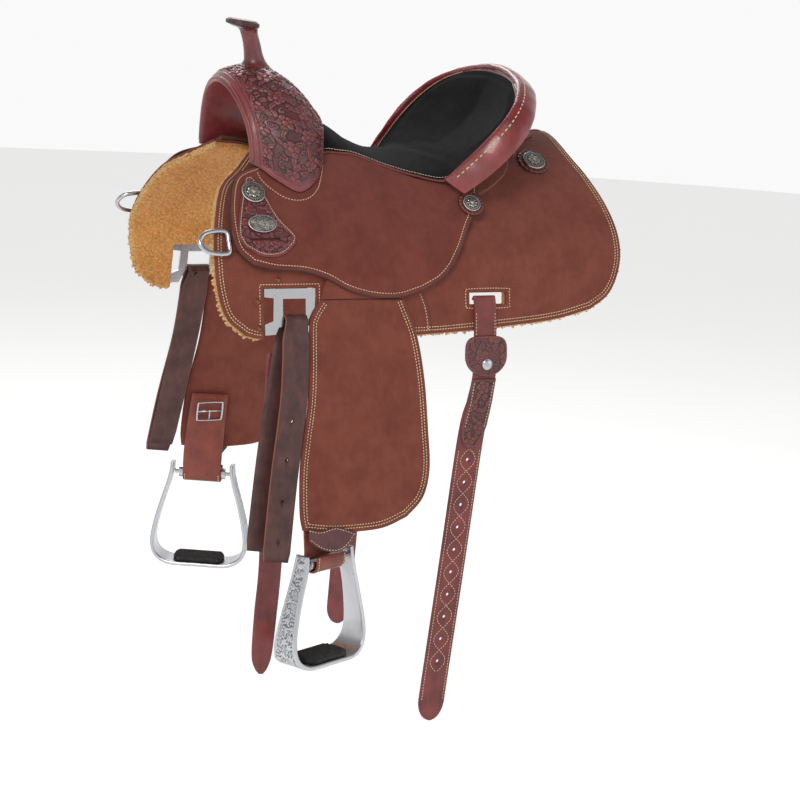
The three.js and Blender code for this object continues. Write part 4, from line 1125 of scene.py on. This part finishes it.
def make_seat():
    count = 70
    top, edge = seat_points(count, 76)
    ribs = np.linspace(0, len(SEAT_RIBS) - 1, count)
    lean = math.radians(42) * np.clip((ribs - 4) / 3, 0, 1)[:, None]
    depth = SEAT_THICK - SEAT_THINNING * edge**2
    fall = np.stack(np.broadcast_arrays(np.sin(lean) * depth, 0.0, -np.cos(lean) * depth), -1)
    under = top + fall
    rows = np.linspace(0, 1, count)[:, None]
    reach = np.minimum(np.minimum(rows, 1 - rows) * 330, (1 - edge) * 150)
    top = top + fall * 0.35 * rounded(reach, 7)[..., None]
    points, faces = slab(top, under)
    seat = make("seat_suede", points, faces, "suede", "saddle", "black_suede", ["seat_pad"])
    held = 1 - smooth(0, 26, reach) * 0.97
    puff(seat, np.concatenate([held.ravel(), np.ones(held.size)]), 4.5)
    seat.modifiers.new("soft", "SUBSURF").levels = 1
    apply_modifiers(seat)
    rim = np.concatenate([top[:, 0], top[-1, 1:-1], top[::-1, -1]])
    make("seat_piping", *tube(even(rim, 5.0), 1.9, 8), "strap", "saddle", "strap_leather")
    inner, _ = seat_points(160, 3, 0.055)
    rows = []
    for column in (0, 2):
        line = inner[4:-4, column] + [0, 0, 1.2]
        out = np.tile([0, math.copysign(0.55, inner[80, column, 1]), 0.83], (len(line), 1))
        rows.append((line, unit(out)))
    stitches("seat_stitches", rows, "saddle", pitch=4.4, long=3.2, wide=0.8)


RIM = [(62, 161, 27), (87, 173, 54), (120, 184, 91), (153, 180, 127), (182, 150, 157), (205, 88, 179),
       (211, 0, 190)]
ROLL = [(82, 177, 12), (107, 193, 36), (141, 202, 70), (173, 196, 104), (203, 162, 138), (229, 95, 165),
        (236, 0, 177)]


def both_sides(points):
    near = [(x, -y, z) for x, y, z in points]
    return spline(near + [tuple(p) for p in points[-2::-1]], 24)


def binding_frame(u):
    rim, roll = at_shares(both_sides(RIM), u), at_shares(both_sides(ROLL), u)
    width = roll - rim
    out = unit(np.cross(np.gradient(rim, axis=0), width))
    out *= np.where(out[:, 2:] < 0, -1, 1)
    return rim, width, out


ROLL_MIDDLE, ROLL_HALF = 0.42, 0.66
ROLL_LIFT, ROLL_RISE = 1.5, 7


def make_binding():
    u = np.linspace(0, 1, 420)
    rim, width, out = binding_frame(u)
    taper = np.minimum(1, 0.35 + 6 * np.minimum(u, 1 - u))[:, None, None]
    angle = np.arange(36) * TAU / 36
    centre = (rim + ROLL_MIDDLE * width + ROLL_LIFT * out)[:, None]
    puckers = 0.22 * np.sin(u * 640)[:, None] * smooth(0.4, 1.0, -np.cos(angle))[None]
    soft = 0.35 * np.sin(u * 61)[:, None] + 0.25 * np.sin(u * 133 + 1)[:, None] + puckers
    swell = ROLL_RISE * taper[..., 0] * np.sin(angle)[None] + soft * np.sign(np.sin(angle))[None]
    reach = ROLL_HALF * np.cos(angle)[None, :, None] * width[:, None]
    points = centre + reach + swell[..., None] * out[:, None]
    make("cantle_roll", *loft(points), "binding", "saddle", "binding_leather", ["cantle_binding"])
    rows = []
    share = 0.14
    cosine = (share - ROLL_MIDDLE) / ROLL_HALF
    for lift in (1.0, -1.0):
        rise = ROLL_RISE * taper[:, :, 0] * math.sqrt(1 - cosine * cosine)
        height = ROLL_LIFT + lift * rise + 0.3 * lift
        rows.append(((rim + share * width + height * out)[8:-8], (lift * out - 0.4 * unit(width))[8:-8]))
    stitches("cantle_stitches", rows, "saddle", pitch=9.5, long=5.6, wide=2.3, high=1.3)


def make_cantle_back():
    top = both_sides([(176, 172, 78), (192, 150, 112), (212, 90, 145), (221, 0, 158)])
    foot = both_sides([(178, 141, 30), (192, 118, 49), (212, 70, 80), (222, 0, 98)])
    wide, tall = 420, 60
    us, vs = shares(wide, 1.8, 2), shares(tall, 1.8, 2)
    along = 0.15 + 0.7 * us
    upper, lower = at_shares(top, along)[:, None], at_shares(foot, along)[:, None]
    outer = upper + (lower - upper) * vs[None, :, None]
    reach = edge_reach(us, vs, wide, tall)
    p, q = np.broadcast_arrays(us[:, None] * wide - wide / 2, vs[None] * tall)
    carved = 1.3 * floral(p, q + 14, 46.0, 4) * smooth(7, 10, reach)
    shift = 4 - 1.6 * rounded(reach, 2) + 0.8 * carved
    back = outer + shift[..., None] * REARWARD
    points, faces = slab(back, outer + 1.6 * rounded(reach, 2)[..., None] * REARWARD)
    make("cantle_back_leather", points, faces, "tooled", "saddle", "tooled_leather", ["cantle_back"],
         stained_and_shaded(0.8 * carved))
    rows = [(row, np.tile(REARWARD, (len(row), 1))) for row in (back[3:-3, 6], back[3:-3, -7])]
    stitches("cantle_back_stitches", rows, "saddle", pitch=5, long=3.6, wide=0.9)


def make_housing(side, side_name):
    """The leather over the bar's rear end, under the cantle."""
    sheet(f"bar_housing_{side_name}", HOUSING, 0.4, 11, side, "roughout", "saddle", "roughout_leather",
          pitch=5, edge=7, wave=0.3)


def make_rear_jockey():
    wide, tall = 34, 120
    u, v = shares(wide, 1.4, 1.5), shares(tall, 1.4, 1.5)
    x = 230 + wide * u[:, None] + 0 * v[None]
    s = tall / 2 * (2 * v[None] - 1) * (1 - 0.35 * u[:, None])
    reach = edge_reach(u, v, wide, tall)
    carved = 0.7 * floral(x, s, 34.0, 6) * smooth(4, 6, reach)
    top = on_arch(x, s, 4 - 1.6 * rounded(reach, 1.5) + carved, OFF)
    under = on_arch(x, s, 0.4 + 1.6 * rounded(reach, 1.5), OFF)
    points, faces = slab(top, under)
    make("rear_jockey_leather", points, faces, "dark_tooled", "saddle", "tooled_leather", ["rear_jockey"],
         stained_and_shaded(carved))


# ---- Punched holes and rivets ----
def punch(piece, centres, outs, radius=2.6, reach=6.0):
    """Round holes through a piece, square to it."""
    bodies = []
    for centre, out in zip(np.asarray(centres, float), np.asarray(outs, float)):
        out = unit(out)
        line = np.stack([centre - reach * out, centre + reach * out])
        bodies.append(tube(line, radius, 16))
    cut(piece, *joined(bodies))


def rivet_height(r, a):
    burr = 0.9 * smooth(1.0, 0.9, r)
    head = 1.2 * np.sqrt(np.maximum(1 - (r / 0.62)**2, 0))
    return burr + head + 0.08 * np.cos(7 * a) * smooth(0.3, 0.6, r) * smooth(1, 0.8, r)


def make_rivet(name, basis, body, radius=5.4):
    # The copper look darkens the dip between head and burr: a painted shade ring.
    ornament(name, basis, radius, radius, rivet_height, "copper", body, rings=12, steps=28)


# ---- Rigging, latigo and off billet ----
PLATE_RIVETS = [(-236, 315), (-269, 347), (-267, 388)]
SLOT_X = (-229, -190)
BAR_S, PLATE_N = 378, -1.75
FOLD_R, FOLD_W = 9.3, 37
STRAP_W, STRAP_T = 45, 4
LATIGO_FRONT = [(-250, -535), (-235, -416), (-217, -300), (-212, -235), (-211, -196)]
LATIGO_BACK = [(-216, -202), (-233, -290), (-251, -393), (-269, -520)]
OFF_BILLET_FRONT = [(-245, -500), (-233, -400), (-217, -300), (-212, -235), (-211, -196)]
OFF_BILLET_BACK = [(-214, -202), (-223, -300), (-246, -480)]
LATIGO_HOLES_Z = (-324, -383, -445, -506)
OFF_HOLES_Z = (-330, -385, -440)


def folded_path(front, back, side):
    """A strap's path up its front leaf, over the rigging plate's bar and down its back leaf."""
    def leaf(points, n):
        return [on_arch(x, down_to(z), n, side) for x, z in points]
    middle = sum(SLOT_X) / 2
    fold = [on_arch(middle, BAR_S - FOLD_R * math.sin(a), PLATE_N + FOLD_R * math.cos(a), side)
            for a in np.linspace(0, math.pi, 9)]
    path = spline(leaf(front, PLATE_N + FOLD_R) + fold + leaf(back, PLATE_N - FOLD_R), 8)
    fold_at = lengths(path)[np.argmin(np.linalg.norm(path - fold[4], axis=1))]
    away = np.abs(lengths(path) - fold_at)
    return path, FOLD_W + (STRAP_W - FOLD_W) * smooth(16, 48, away)


def make_folded_strap(name, front, back, side, holes, body, stands_for):
    path, widths = folded_path(front, back, side)
    ends = np.minimum(lengths(path), lengths(path)[-1] - lengths(path))
    widths = widths * (0.9 + 0.1 * smooth(0, 4, ends))
    piece = make(name, *strap(path, widths, STRAP_T, (1, 0, 0)), "latigo", body, "latigo_leather", stands_for)
    raw_edges(piece)
    out = out_of_arch(400.0, side)
    x = np.interp(holes, [z for _, z in front], [x for x, _ in front])
    centres = [on_arch(cx, down_to(z), PLATE_N + FOLD_R, side) for cx, z in zip(x, holes)]
    punch(piece, centres, [out] * len(centres), 3.0, 5.5)


def make_latigo_end():
    knots = [(-228, -226), (-228, -380), (-227, -555), (-231, -640), (-234, -705), (-234, -728), (-234, -738)]
    widths = [42, 42, 38, 38, 34, 22, 8]
    line = spline([(x, -217, z, w) for (x, z), w in zip(knots, widths)], 14)
    body = strap(line[:, :3], np.maximum(line[:, 3], 8), STRAP_T, (1, 0, 0))
    raw_edges(make("latigo_tail", *body, "strap", "latigo_end", "strap_leather", ["latigo_end"]))


def make_rigging(side, side_name):
    dress(f"rigging_plate_{side_name}", "plain_steel", bevel=0.9)
    for k, (x, s) in enumerate(PLATE_RIVETS):
        make_rivet(f"rigging_rivet_{k}_{side_name}", frame_on_arch(x, s, 0.2, side), "saddle")
    dress(f"dee_ring_{side_name}", "plain_steel", levels=2)
    dress(f"dee_tab_{side_name}", "strap", bevel=1.2)


def dress(node, look, bevel=0.0, levels=0):
    """Keeps a CAD node, with a procedural material and softened edges."""
    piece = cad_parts[node]
    piece.data.materials.clear()
    piece.data.materials.append(LOOKS[look])
    if bevel:
        modifier = piece.modifiers.new("edges", "BEVEL")
        modifier.width = bevel * MM
        modifier.segments = 3
        modifier.limit_method = "ANGLE"
        modifier.angle_limit = math.radians(35)
    if levels:
        piece.modifiers.new("weld", "WELD").merge_threshold = 0.00001
        modifier = piece.modifiers.new("smooth", "SUBSURF")
        modifier.levels = modifier.render_levels = levels
    piece.data.polygons.foreach_set("use_smooth", [bool(levels)] * len(piece.data.polygons))


# ---- Flank billets ----
KNEE_X, KNEE_Y, KNEE_Z = 107, 241.4, -272
UPPER_SLOPE, LOWER_SLOPE = 0.111, 0.0365
OFF_LEAN = 0.2
BILLET_LINE = [(107, -148), (108, -166), (108.5, -203), (109, -241), (107, -272), (101, -310), (89, -366),
               (66, -575), (44, -770), (39, -822)]
BILLET_WIDTHS = [38, 38, 39, 40, 40, 43, STRAP_W, STRAP_W, STRAP_W, STRAP_W]
TIP_Z, TIP_LONG = -788, 34.2
BILLET_HOLES_Z = np.linspace(-400, -725, 10)
OVERLAY_TOP, OVERLAY_TIP = -271, -383


def billet_y(z):
    return KNEE_Y + (KNEE_Z - z) * np.where(z > KNEE_Z, UPPER_SLOPE, LOWER_SLOPE)


def billet_x(z, side):
    """The near billet swings forward below its knee, and the off one hangs plumber."""
    z = np.asarray(z, float)
    x = np.interp(-z, [-h for _, h in BILLET_LINE], [x for x, _ in BILLET_LINE])
    return np.where((side == OFF) & (z < KNEE_Z), KNEE_X + OFF_LEAN * (x - KNEE_X), x)


def on_billet(x, z, n, side):
    x, z, n = np.broadcast_arrays(np.asarray(x, float), np.asarray(z, float), np.asarray(n, float))
    return np.stack([x, side * (billet_y(z) + n), z], -1)


def billet_row(across, top, bottom, side, n=2.25):
    z = np.arange(top, bottom, -4.0)
    x = billet_x(z, side) + across
    normals = np.tile([0, side, 0.05], (len(z), 1))
    return on_billet(x, z, n, side), unit(normals)


def diamond_rows(side):
    """Two waving rows that swing round the holes and cross between them."""
    rows = []
    step = BILLET_HOLES_Z[0] - BILLET_HOLES_Z[1]
    z = np.arange(BILLET_HOLES_Z[0] + step / 2, BILLET_HOLES_Z[-1] - step / 2, -1.5)
    swing = 12.5 * np.cos(math.pi * (BILLET_HOLES_Z[0] - z) / step)
    for way in (-1, 1):
        x = billet_x(z, side) + way * swing
        rows.append((on_billet(x, z, 2.25, side), np.tile([0.0, side, 0.05], (len(z), 1))))
    return rows


def make_billet(side, side_name):
    body = f"flank_billet_{side_name}"
    start = [on_arch(107, 349, -3, side), on_arch(107, 346.5, 3, side)]
    line = start + [on_billet(billet_x(z, side), z, 0, side) for _, z in BILLET_LINE[1:]]
    path = spline([(*p, w) for p, w in zip(line, [38, *BILLET_WIDTHS])], 22)
    tip = np.sqrt(1 - np.clip((TIP_Z - path[:, 2]) / TIP_LONG, 0, 0.99)**2)
    piece = make(f"billet_strap_{side_name}", *strap(path[:, :3], path[:, 3] * tip, STRAP_T, (1, 0, 0)),
                 "strap", body, "strap_leather", [body])
    raw_edges(piece)
    holes = on_billet(billet_x(BILLET_HOLES_Z, side), BILLET_HOLES_Z, 0, side)
    punch(piece, holes, [(0, side, 0.03)] * len(holes), 2.7, 5)
    rows = [billet_row(across, -384, -790, side) for across in (-18.2, 18.2)] + diamond_rows(side)
    rows += [billet_row(across, -168, -208, side) for across in (-16, 16)]
    rows += [billet_row(across, OVERLAY_TOP - 5, -352, side, 5.0) for across in (-16.5, 16.5)]
    stitches(f"billet_stitches_{side_name}", rows, body, wide=1.2)
    make_overlay(side, side_name, body)
    spot = on_billet(billet_x(-366.0, side) + 3, -366.0, 4.4, side)
    basis = (spot, REARWARD, -UP, np.array([0, float(side), 0]))
    make_rivet(f"billet_rivet_{side_name}", basis, body, 4.6)
    make_flap(side, side_name)


def make_overlay(side, side_name, body):
    """The carved leather sewn over the billet's upper end, down to a point."""
    z = np.linspace(OVERLAY_TOP, OVERLAY_TIP, 90)
    half = np.interp(z, [OVERLAY_TIP, -380, -374, -362, -345, OVERLAY_TOP], [2, 7, 13, 19, 21.5, 20.0])
    t = np.linspace(-1, 1, 36)
    x = billet_x(z, side)[:, None] + half[:, None] * t[None]
    ends = np.minimum(OVERLAY_TOP - z, z - OVERLAY_TIP)[:, None]
    reach = np.minimum((1 - np.abs(t))[None] * half[:, None], ends)
    high = np.broadcast_to(z[:, None], x.shape)
    carved = 0.8 * floral(x - 105, high + 20, 38.0, 8) * smooth(3, 5, reach)
    top = on_billet(x, high, 4.6 - 1.0 * rounded(reach, 1.6) + carved, side)
    under = on_billet(x, high, 2.15, side)
    points, faces = slab(top, under)
    make(f"billet_overlay_{side_name}", points, faces, "dark_tooled", body, "tooled_leather",
         relief=stained_and_shaded(carved))


FLAP_RX, FLAP_RY = 36, 32
FLAP_Z, SNAP_Z = -236.0, -248.0


def make_flap(side, side_name):
    body = f"billet_flap_{side_name}"
    down = unit(np.array([0, side * UPPER_SLOPE, -1.0]))
    out = unit(np.array([0, side * 1.0, UPPER_SLOPE]))
    centre = on_billet(109, FLAP_Z, 2.6, side)

    def height(r, a):
        x, y = FLAP_RX * r * np.cos(a), FLAP_RY * r * np.sin(a)
        carved = 0.55 * floral(x + 9, y - 4, 40.0, 9) * smooth(1, 0.84, r)
        return 3.0 - 1.1 * rounded((1 - r) * FLAP_RY, 1.8) + carved

    basis = (centre, REARWARD, down, out)
    ornament(f"flap_leather_{side_name}", basis, FLAP_RX, FLAP_RY, height, "dark_tooled", body,
             "tooled_leather", [body], rings=44, steps=150, outline=flap_outline)
    snap = (on_billet(110, SNAP_Z, 6.3, side), REARWARD, down, out)
    ornament(f"flap_snap_{side_name}", snap, 8.8, 8.8, snap_height, "plain_steel", body, "stainless_steel",
             [f"billet_snap_{side_name}"], rings=18, steps=40)


def flap_outline(a):
    """A flat top with rounded corners over a round bottom."""
    square = (np.cos(a)**4 + np.sin(a)**4)**-0.25
    return np.where(np.sin(a) < 0, square, 1)


def snap_height(r, a):
    head = 0.35 * smooth(1, 0.93, r) + 0.65 * np.sqrt(np.maximum(1 - (r / 0.84)**2, 0))
    return 3.6 * head - 0.25 * np.exp(-((r - 0.84) / 0.03)**2)


# ---- Conchos ----
def round_concho(thick):
    def height(r, a):
        rope = 0.55 * np.exp(-((r - 0.93) / 0.05)**2) * (1 + 0.5 * np.cos(44 * a + 16 * r))
        inner = 0.35 * np.exp(-((r - 0.68) / 0.03)**2)
        lobe = np.abs(np.cos(4 * a))
        petals = 0.75 * smooth(0.62, 0.5, r / (0.72 + 0.28 * lobe)) * (0.6 + 0.4 * lobe)
        rays = 0.22 * np.cos(32 * a) * smooth(0.68, 0.74, r) * smooth(0.9, 0.84, r)
        heart = 0.7 * np.sqrt(np.maximum(1 - (r / 0.17)**2, 0))
        dome = thick * (0.42 + 0.35 * np.sqrt(np.maximum(1 - 0.97 * r * r, 0)))
        return dome * smooth(1.02, 0.985, r) + rope + inner + petals + rays + heart
    return height


OVAL_RX, OVAL_RY = 23, 15


def oval_concho(r, a):
    rope = 0.5 * np.exp(-((r - 0.94) / 0.04)**2) * (1 + 0.5 * np.cos(52 * a))
    x, y = OVAL_RX * r * np.cos(a), OVAL_RY * r * np.sin(a)
    scrolls = 1.3 * scroll_engraving(x + 4, y + 3, 13.0) * smooth(0.88, 0.8, r)
    dome = 4.2 * (0.4 + 0.42 * np.sqrt(np.maximum(1 - 0.97 * r * r, 0)))
    return dome * smooth(1.02, 0.985, r) + rope + scrolls


def rosette_outline(a):
    return 0.95 + 0.05 * np.abs(np.cos(9 * a))**0.6


def rosette_height(r, a):
    scallops = 0.3 * np.cos(18 * a) * smooth(0.7, 0.86, r) * smooth(1, 0.93, r)
    return 2.5 - 0.9 * rounded((1 - r) * 20, 1.4) + scallops


def make_conchos(side, side_name):
    def node(part):
        return [f"{part}_{side_name}"]
    ornament(f"round_concho_{side_name}", frame_on_arch(-263, 180, 16.3, side), 19, 19, round_concho(4.5),
             "silver", "saddle", "antique_silver", node("front_concho"), rings=44, steps=176)
    ornament(f"oval_concho_{side_name}_plate", frame_on_arch(-259, 233, 15.3, side), OVAL_RX, OVAL_RY,
             oval_concho, "silver", "saddle", "antique_silver", node("oval_concho"), rings=44, steps=176)
    for part, x, s, n, wide, silver, thick in (("seat", 97, 201, 14.5, 21, 14.8, 3.6),
                                               ("rear", 240, 107, 1.2, 27, 19, 4.0)):
        basis = frame_on_arch(x, s, n, side)
        ornament(f"{part}_rosette_{side_name}", basis, wide, wide, rosette_height, "dark_tooled", "saddle",
                 "tooled_leather", rings=26, steps=144, outline=rosette_outline)
        basis = frame_on_arch(x, s, n + 2.5, side)
        ornament(f"{part}_concho_silver_{side_name}", basis, silver, silver, round_concho(thick), "silver",
                 "saddle", "antique_silver", node(f"{part}_concho"), rings=40, steps=160)


# ---- Fenders and stirrups ----
BOLT = np.array([-164, 283, -540.0])
STIRRUP_TURN = math.radians(27)
BAND = [(0, -158, 58), (40, -158, 58), (58, -155, 56), (72, -146, 52), (79, -132, 47), (80, -112, 42),
        (75, -85, 37), (66, -50, 32), (57, -20, 30), (52, 2, 28), (51, 16, 24)]
BAND_T = 7
BOLT_HALF = 55.2
LOOP_R, LOOP_W = 13.2, 66
FENDER_N, HOBBLE_N = (0.6, 5.1), (6.2, 9.4)


def stirrup_axes(side):
    along = np.array([math.cos(STIRRUP_TURN), -side * math.sin(STIRRUP_TURN), 0])
    outward = np.array([math.sin(STIRRUP_TURN), side * math.cos(STIRRUP_TURN), 0])
    return BOLT * [1, side, 1], along, outward


def in_stirrup(t, p, z, side):
    centre, along, outward = stirrup_axes(side)
    t, p, z = np.broadcast_arrays(np.asarray(t, float), np.asarray(p, float), np.asarray(z, float))
    return centre + t[..., None] * along + p[..., None] * outward + z[..., None] * UP


def make_fender(side, side_name):
    sheet(f"upper_leather_{side_name}", UPPER_LEATHER, *FENDER_N, side, "roughout",
          f"stirrup_leather_{side_name}", "roughout_leather",
          [f"stirrup_leather_{side_name}"], pitch=6, edge=1.6)
    body = f"fender_{side_name}"
    sheet(f"fender_leather_{side_name}", FENDER, *FENDER_N, side, "roughout", body, "roughout_leather",
          [body], pitch=6.5, edge=2.3, wave=0.7)
    rows = []
    for inset in (6.5, 11.0):
        line = inset_line(sides_of(FENDER, OUTER), inset, (-90, 520))
        rows.append(row_on_arch(line, FENDER_N[1] + 0.5, side))
    stitches(f"fender_stitches_{side_name}", rows, body)
    make_hobble(side, side_name, body)


def make_hobble(side, side_name, body):
    sheet(f"hobble_leather_{side_name}", HOBBLE, *HOBBLE_N, side, "hobble", body, "latigo_leather",
          [f"hobble_strap_{side_name}"], pitch=3, edge=1.6, wave=0.15)
    lines = [inset_line(spline(HOBBLE[part]), 3.2, (-160, 711)) for part in ("top", "bottom")]
    rows = [row_on_arch(line, HOBBLE_N[1] + 0.3, side) for line in lines]
    stitches(f"hobble_stitches_{side_name}", rows, body, wide=1.2)
    a = np.linspace(0, math.pi, 17)
    turn = in_stirrup(0, LOOP_R * np.cos(a), -LOOP_R * np.sin(a), side)
    t = np.linspace(0, 1, 15)[1:, None]
    low, mid = in_stirrup(0, -LOOP_R, 6, side), in_stirrup(0, -LOOP_R, 60, side)
    high = on_arch(BOLT[0], 600, -6, side)
    rise = (1 - t)**2 * low + 2 * t * (1 - t) * mid + t**2 * high
    path = np.concatenate([in_stirrup(0, LOOP_R, 12, side)[None], turn, rise])
    _, along, _ = stirrup_axes(side)
    blend = np.concatenate([np.zeros(len(turn) + 1), np.linspace(0, 1, len(rise))])[:, None]
    across = (1 - blend) * along + blend * REARWARD
    loop = make(f"leather_loop_{side_name}", *strap(path, LOOP_W, 3.6, across), "loop", body,
                "strap_leather", [f"stirrup_loop_{side_name}"])
    raw_edges(loop)
    turned = path[:len(turn) + 1]
    away = unit(turned - in_stirrup(0, 0, np.maximum(turned[:, 2] - BOLT[2], 0), side))
    rows = [(turned + edge * (LOOP_W / 2 - 4) * along + 2.1 * away, away) for edge in (-1, 1)]
    stitches(f"loop_stitches_{side_name}", rows, body)
    make_buckle(side, side_name, body)


BUCKLE_X, BUCKLE_S, BUCKLE_N = (-188, -144), (612, 644), -15.7


def make_buckle(side, side_name, body):
    """A wire frame, its middle bar and a tongue, flat on the stirrup leather's inner face."""
    (x0, x1), (s0, s1) = BUCKLE_X, BUCKLE_S
    corners = [(x0 + 4, s0), (x1 - 4, s0), (x1, s0 + 4), (x1, s1 - 4), (x1 - 4, s1), (x0 + 4, s1),
               (x0, s1 - 4), (x0, s0 + 4)]
    frame_line = even(spline(corners, 6, loop=True), 2.0)[:-1]
    middle = (s0 + s1) / 2

    def wire(points, radius, loop=False):
        points = np.asarray(points, float)
        return tube(on_arch(points[:, 0], points[:, 1], BUCKLE_N, side), radius, 10, loop)

    bodies = [wire(frame_line, 1.8, True), wire([(x0 + 1, middle), (x1 - 1, middle)], 1.5),
              wire([(sum(BUCKLE_X) / 2, middle - 2), (sum(BUCKLE_X) / 2, s1 + 1)], 1.5)]
    make(f"buckle_wire_{side_name}", *joined(bodies), "plain_steel", body, "stainless_steel",
         [f"stirrup_buckle_{side_name}"])


def bolt_height(r, a):
    return 0.45 * snap_height(r, a)


def make_stirrup(side, side_name):
    body = f"stirrup_{side_name}"
    front = [(-t, z, d) for t, z, d in BAND[1:]][::-1]
    line = even(spline(front + BAND, 10), 1.5)
    run = unit(np.gradient(line[:, :2], axis=0))
    inward = np.stack([-run[:, 1], run[:, 0]], -1)
    around = lengths(line[:, :2])
    w = np.linspace(-1, 1, 41)
    half = line[:, 2:3] / 2
    reach = (1 - np.abs(w))[None] * half
    ends = np.minimum(around, around[-1] - around)[:, None]
    fall = 0.8 * BAND_T / 2 * rounded(reach, 2.6)
    bead = 0.5 * np.exp(-((reach - 3.6) / 0.7)**2)
    engraved = 1.5 * scroll_engraving(around[:, None] + 0 * w, w * half + 3, 17.0)
    engraved = engraved * smooth(5, 6.2, reach) * smooth(3, 6, ends)
    outer = -(BAND_T / 2 - fall) - engraved - bead
    inner = (BAND_T / 2 - fall) + 0 * reach

    def face(depth):
        t = line[:, :1] + depth * inward[:, :1]
        z = line[:, 1:2] + depth * inward[:, 1:2]
        return in_stirrup(t, w[None] * half, z, side)

    points, faces = slab(face(outer), face(inner))
    make(f"stirrup_band_{side_name}", points, faces, "aluminium", body, "aluminium", [body],
         stained_and_shaded(engraved, 1.2))
    make_tread(side, side_name, body)
    dress(f"stirrup_bolt_{side_name}", "plain_steel", bevel=0.8)
    centre, along, outward = stirrup_axes(side)
    for k, way in enumerate((-1, 1)):
        basis = (centre + way * along * BOLT_HALF, outward, -UP, way * along)
        ornament(f"bolt_head_{k}_{side_name}", basis, 6.8, 6.8, bolt_height, "plain_steel", body,
                 "stainless_steel", rings=12, steps=32)


TREAD_HALF, RIB_PITCH = 24.5, 6.2
TREAD_TOP, TREAD_UNDER = -145.7, -153.5


def make_tread(side, side_name, body):
    p = np.linspace(-TREAD_HALF, TREAD_HALF, 99)[None]
    half_long = 43.5 - 8 * np.abs(p / TREAD_HALF)**3
    t = np.linspace(-1, 1, 60)[:, None] * half_long
    reach = np.minimum(half_long - np.abs(t), TREAD_HALF - np.abs(p))
    ribs = 1.3 * np.tanh(3 * np.sin(p * TAU / RIB_PITCH + 0 * t))
    top = TREAD_TOP + ribs * smooth(1, 3, reach) - 3 * rounded(reach, 3)
    under = np.full_like(top, TREAD_UNDER)
    points, faces = slab(in_stirrup(t, p, top, side), in_stirrup(t, p, under, side))
    make(f"tread_rubber_{side_name}", points, faces, "rubber", body, "tread_rubber",
         [f"stirrup_tread_{side_name}"])


# ---- The whole scene ----
def make_floor():
    a = np.arange(64) * TAU / 64
    ring = np.stack([9 * np.cos(a), 9 * np.sin(a), np.full(64, FLOOR_Z)], -1)
    mesh = bpy.data.meshes.new("floor")
    mesh.from_pydata(ring.tolist(), [], [list(range(64))])
    mesh.materials.append(floor_look())
    floor = bpy.data.objects.new("floor", mesh)
    bpy.context.scene.collection.objects.link(floor)


def make_saddle():
    make_swell()
    make_horn()
    make_seat()
    make_binding()
    make_cantle_back()
    make_rear_jockey()
    dress("tree_cantle", "horn")
    dress("ground_seat", "wood")
    for side, side_name in SIDES:
        dress(f"tree_bar_{side_name}", "wood")
        make_skirt(side, side_name)
        make_fleece(side, side_name)
        make_jockey(side, side_name)
        make_patch(side, side_name)
        make_housing(side, side_name)
        make_rigging(side, side_name)
        make_conchos(side, side_name)
        make_billet(side, side_name)
        make_fender(side, side_name)
        make_stirrup(side, side_name)
    make_folded_strap("latigo", LATIGO_FRONT, LATIGO_BACK, NEAR, LATIGO_HOLES_Z, "latigo", ["latigo_strap"])
    make_folded_strap("off_billet_strap", OFF_BILLET_FRONT, OFF_BILLET_BACK, OFF, OFF_HOLES_Z, "off_billet",
                      ["off_billet"])
    make_latigo_end()


make_camera()
make_lights()
make_floor()
make_saddle()
bpy.context.view_layer.update()
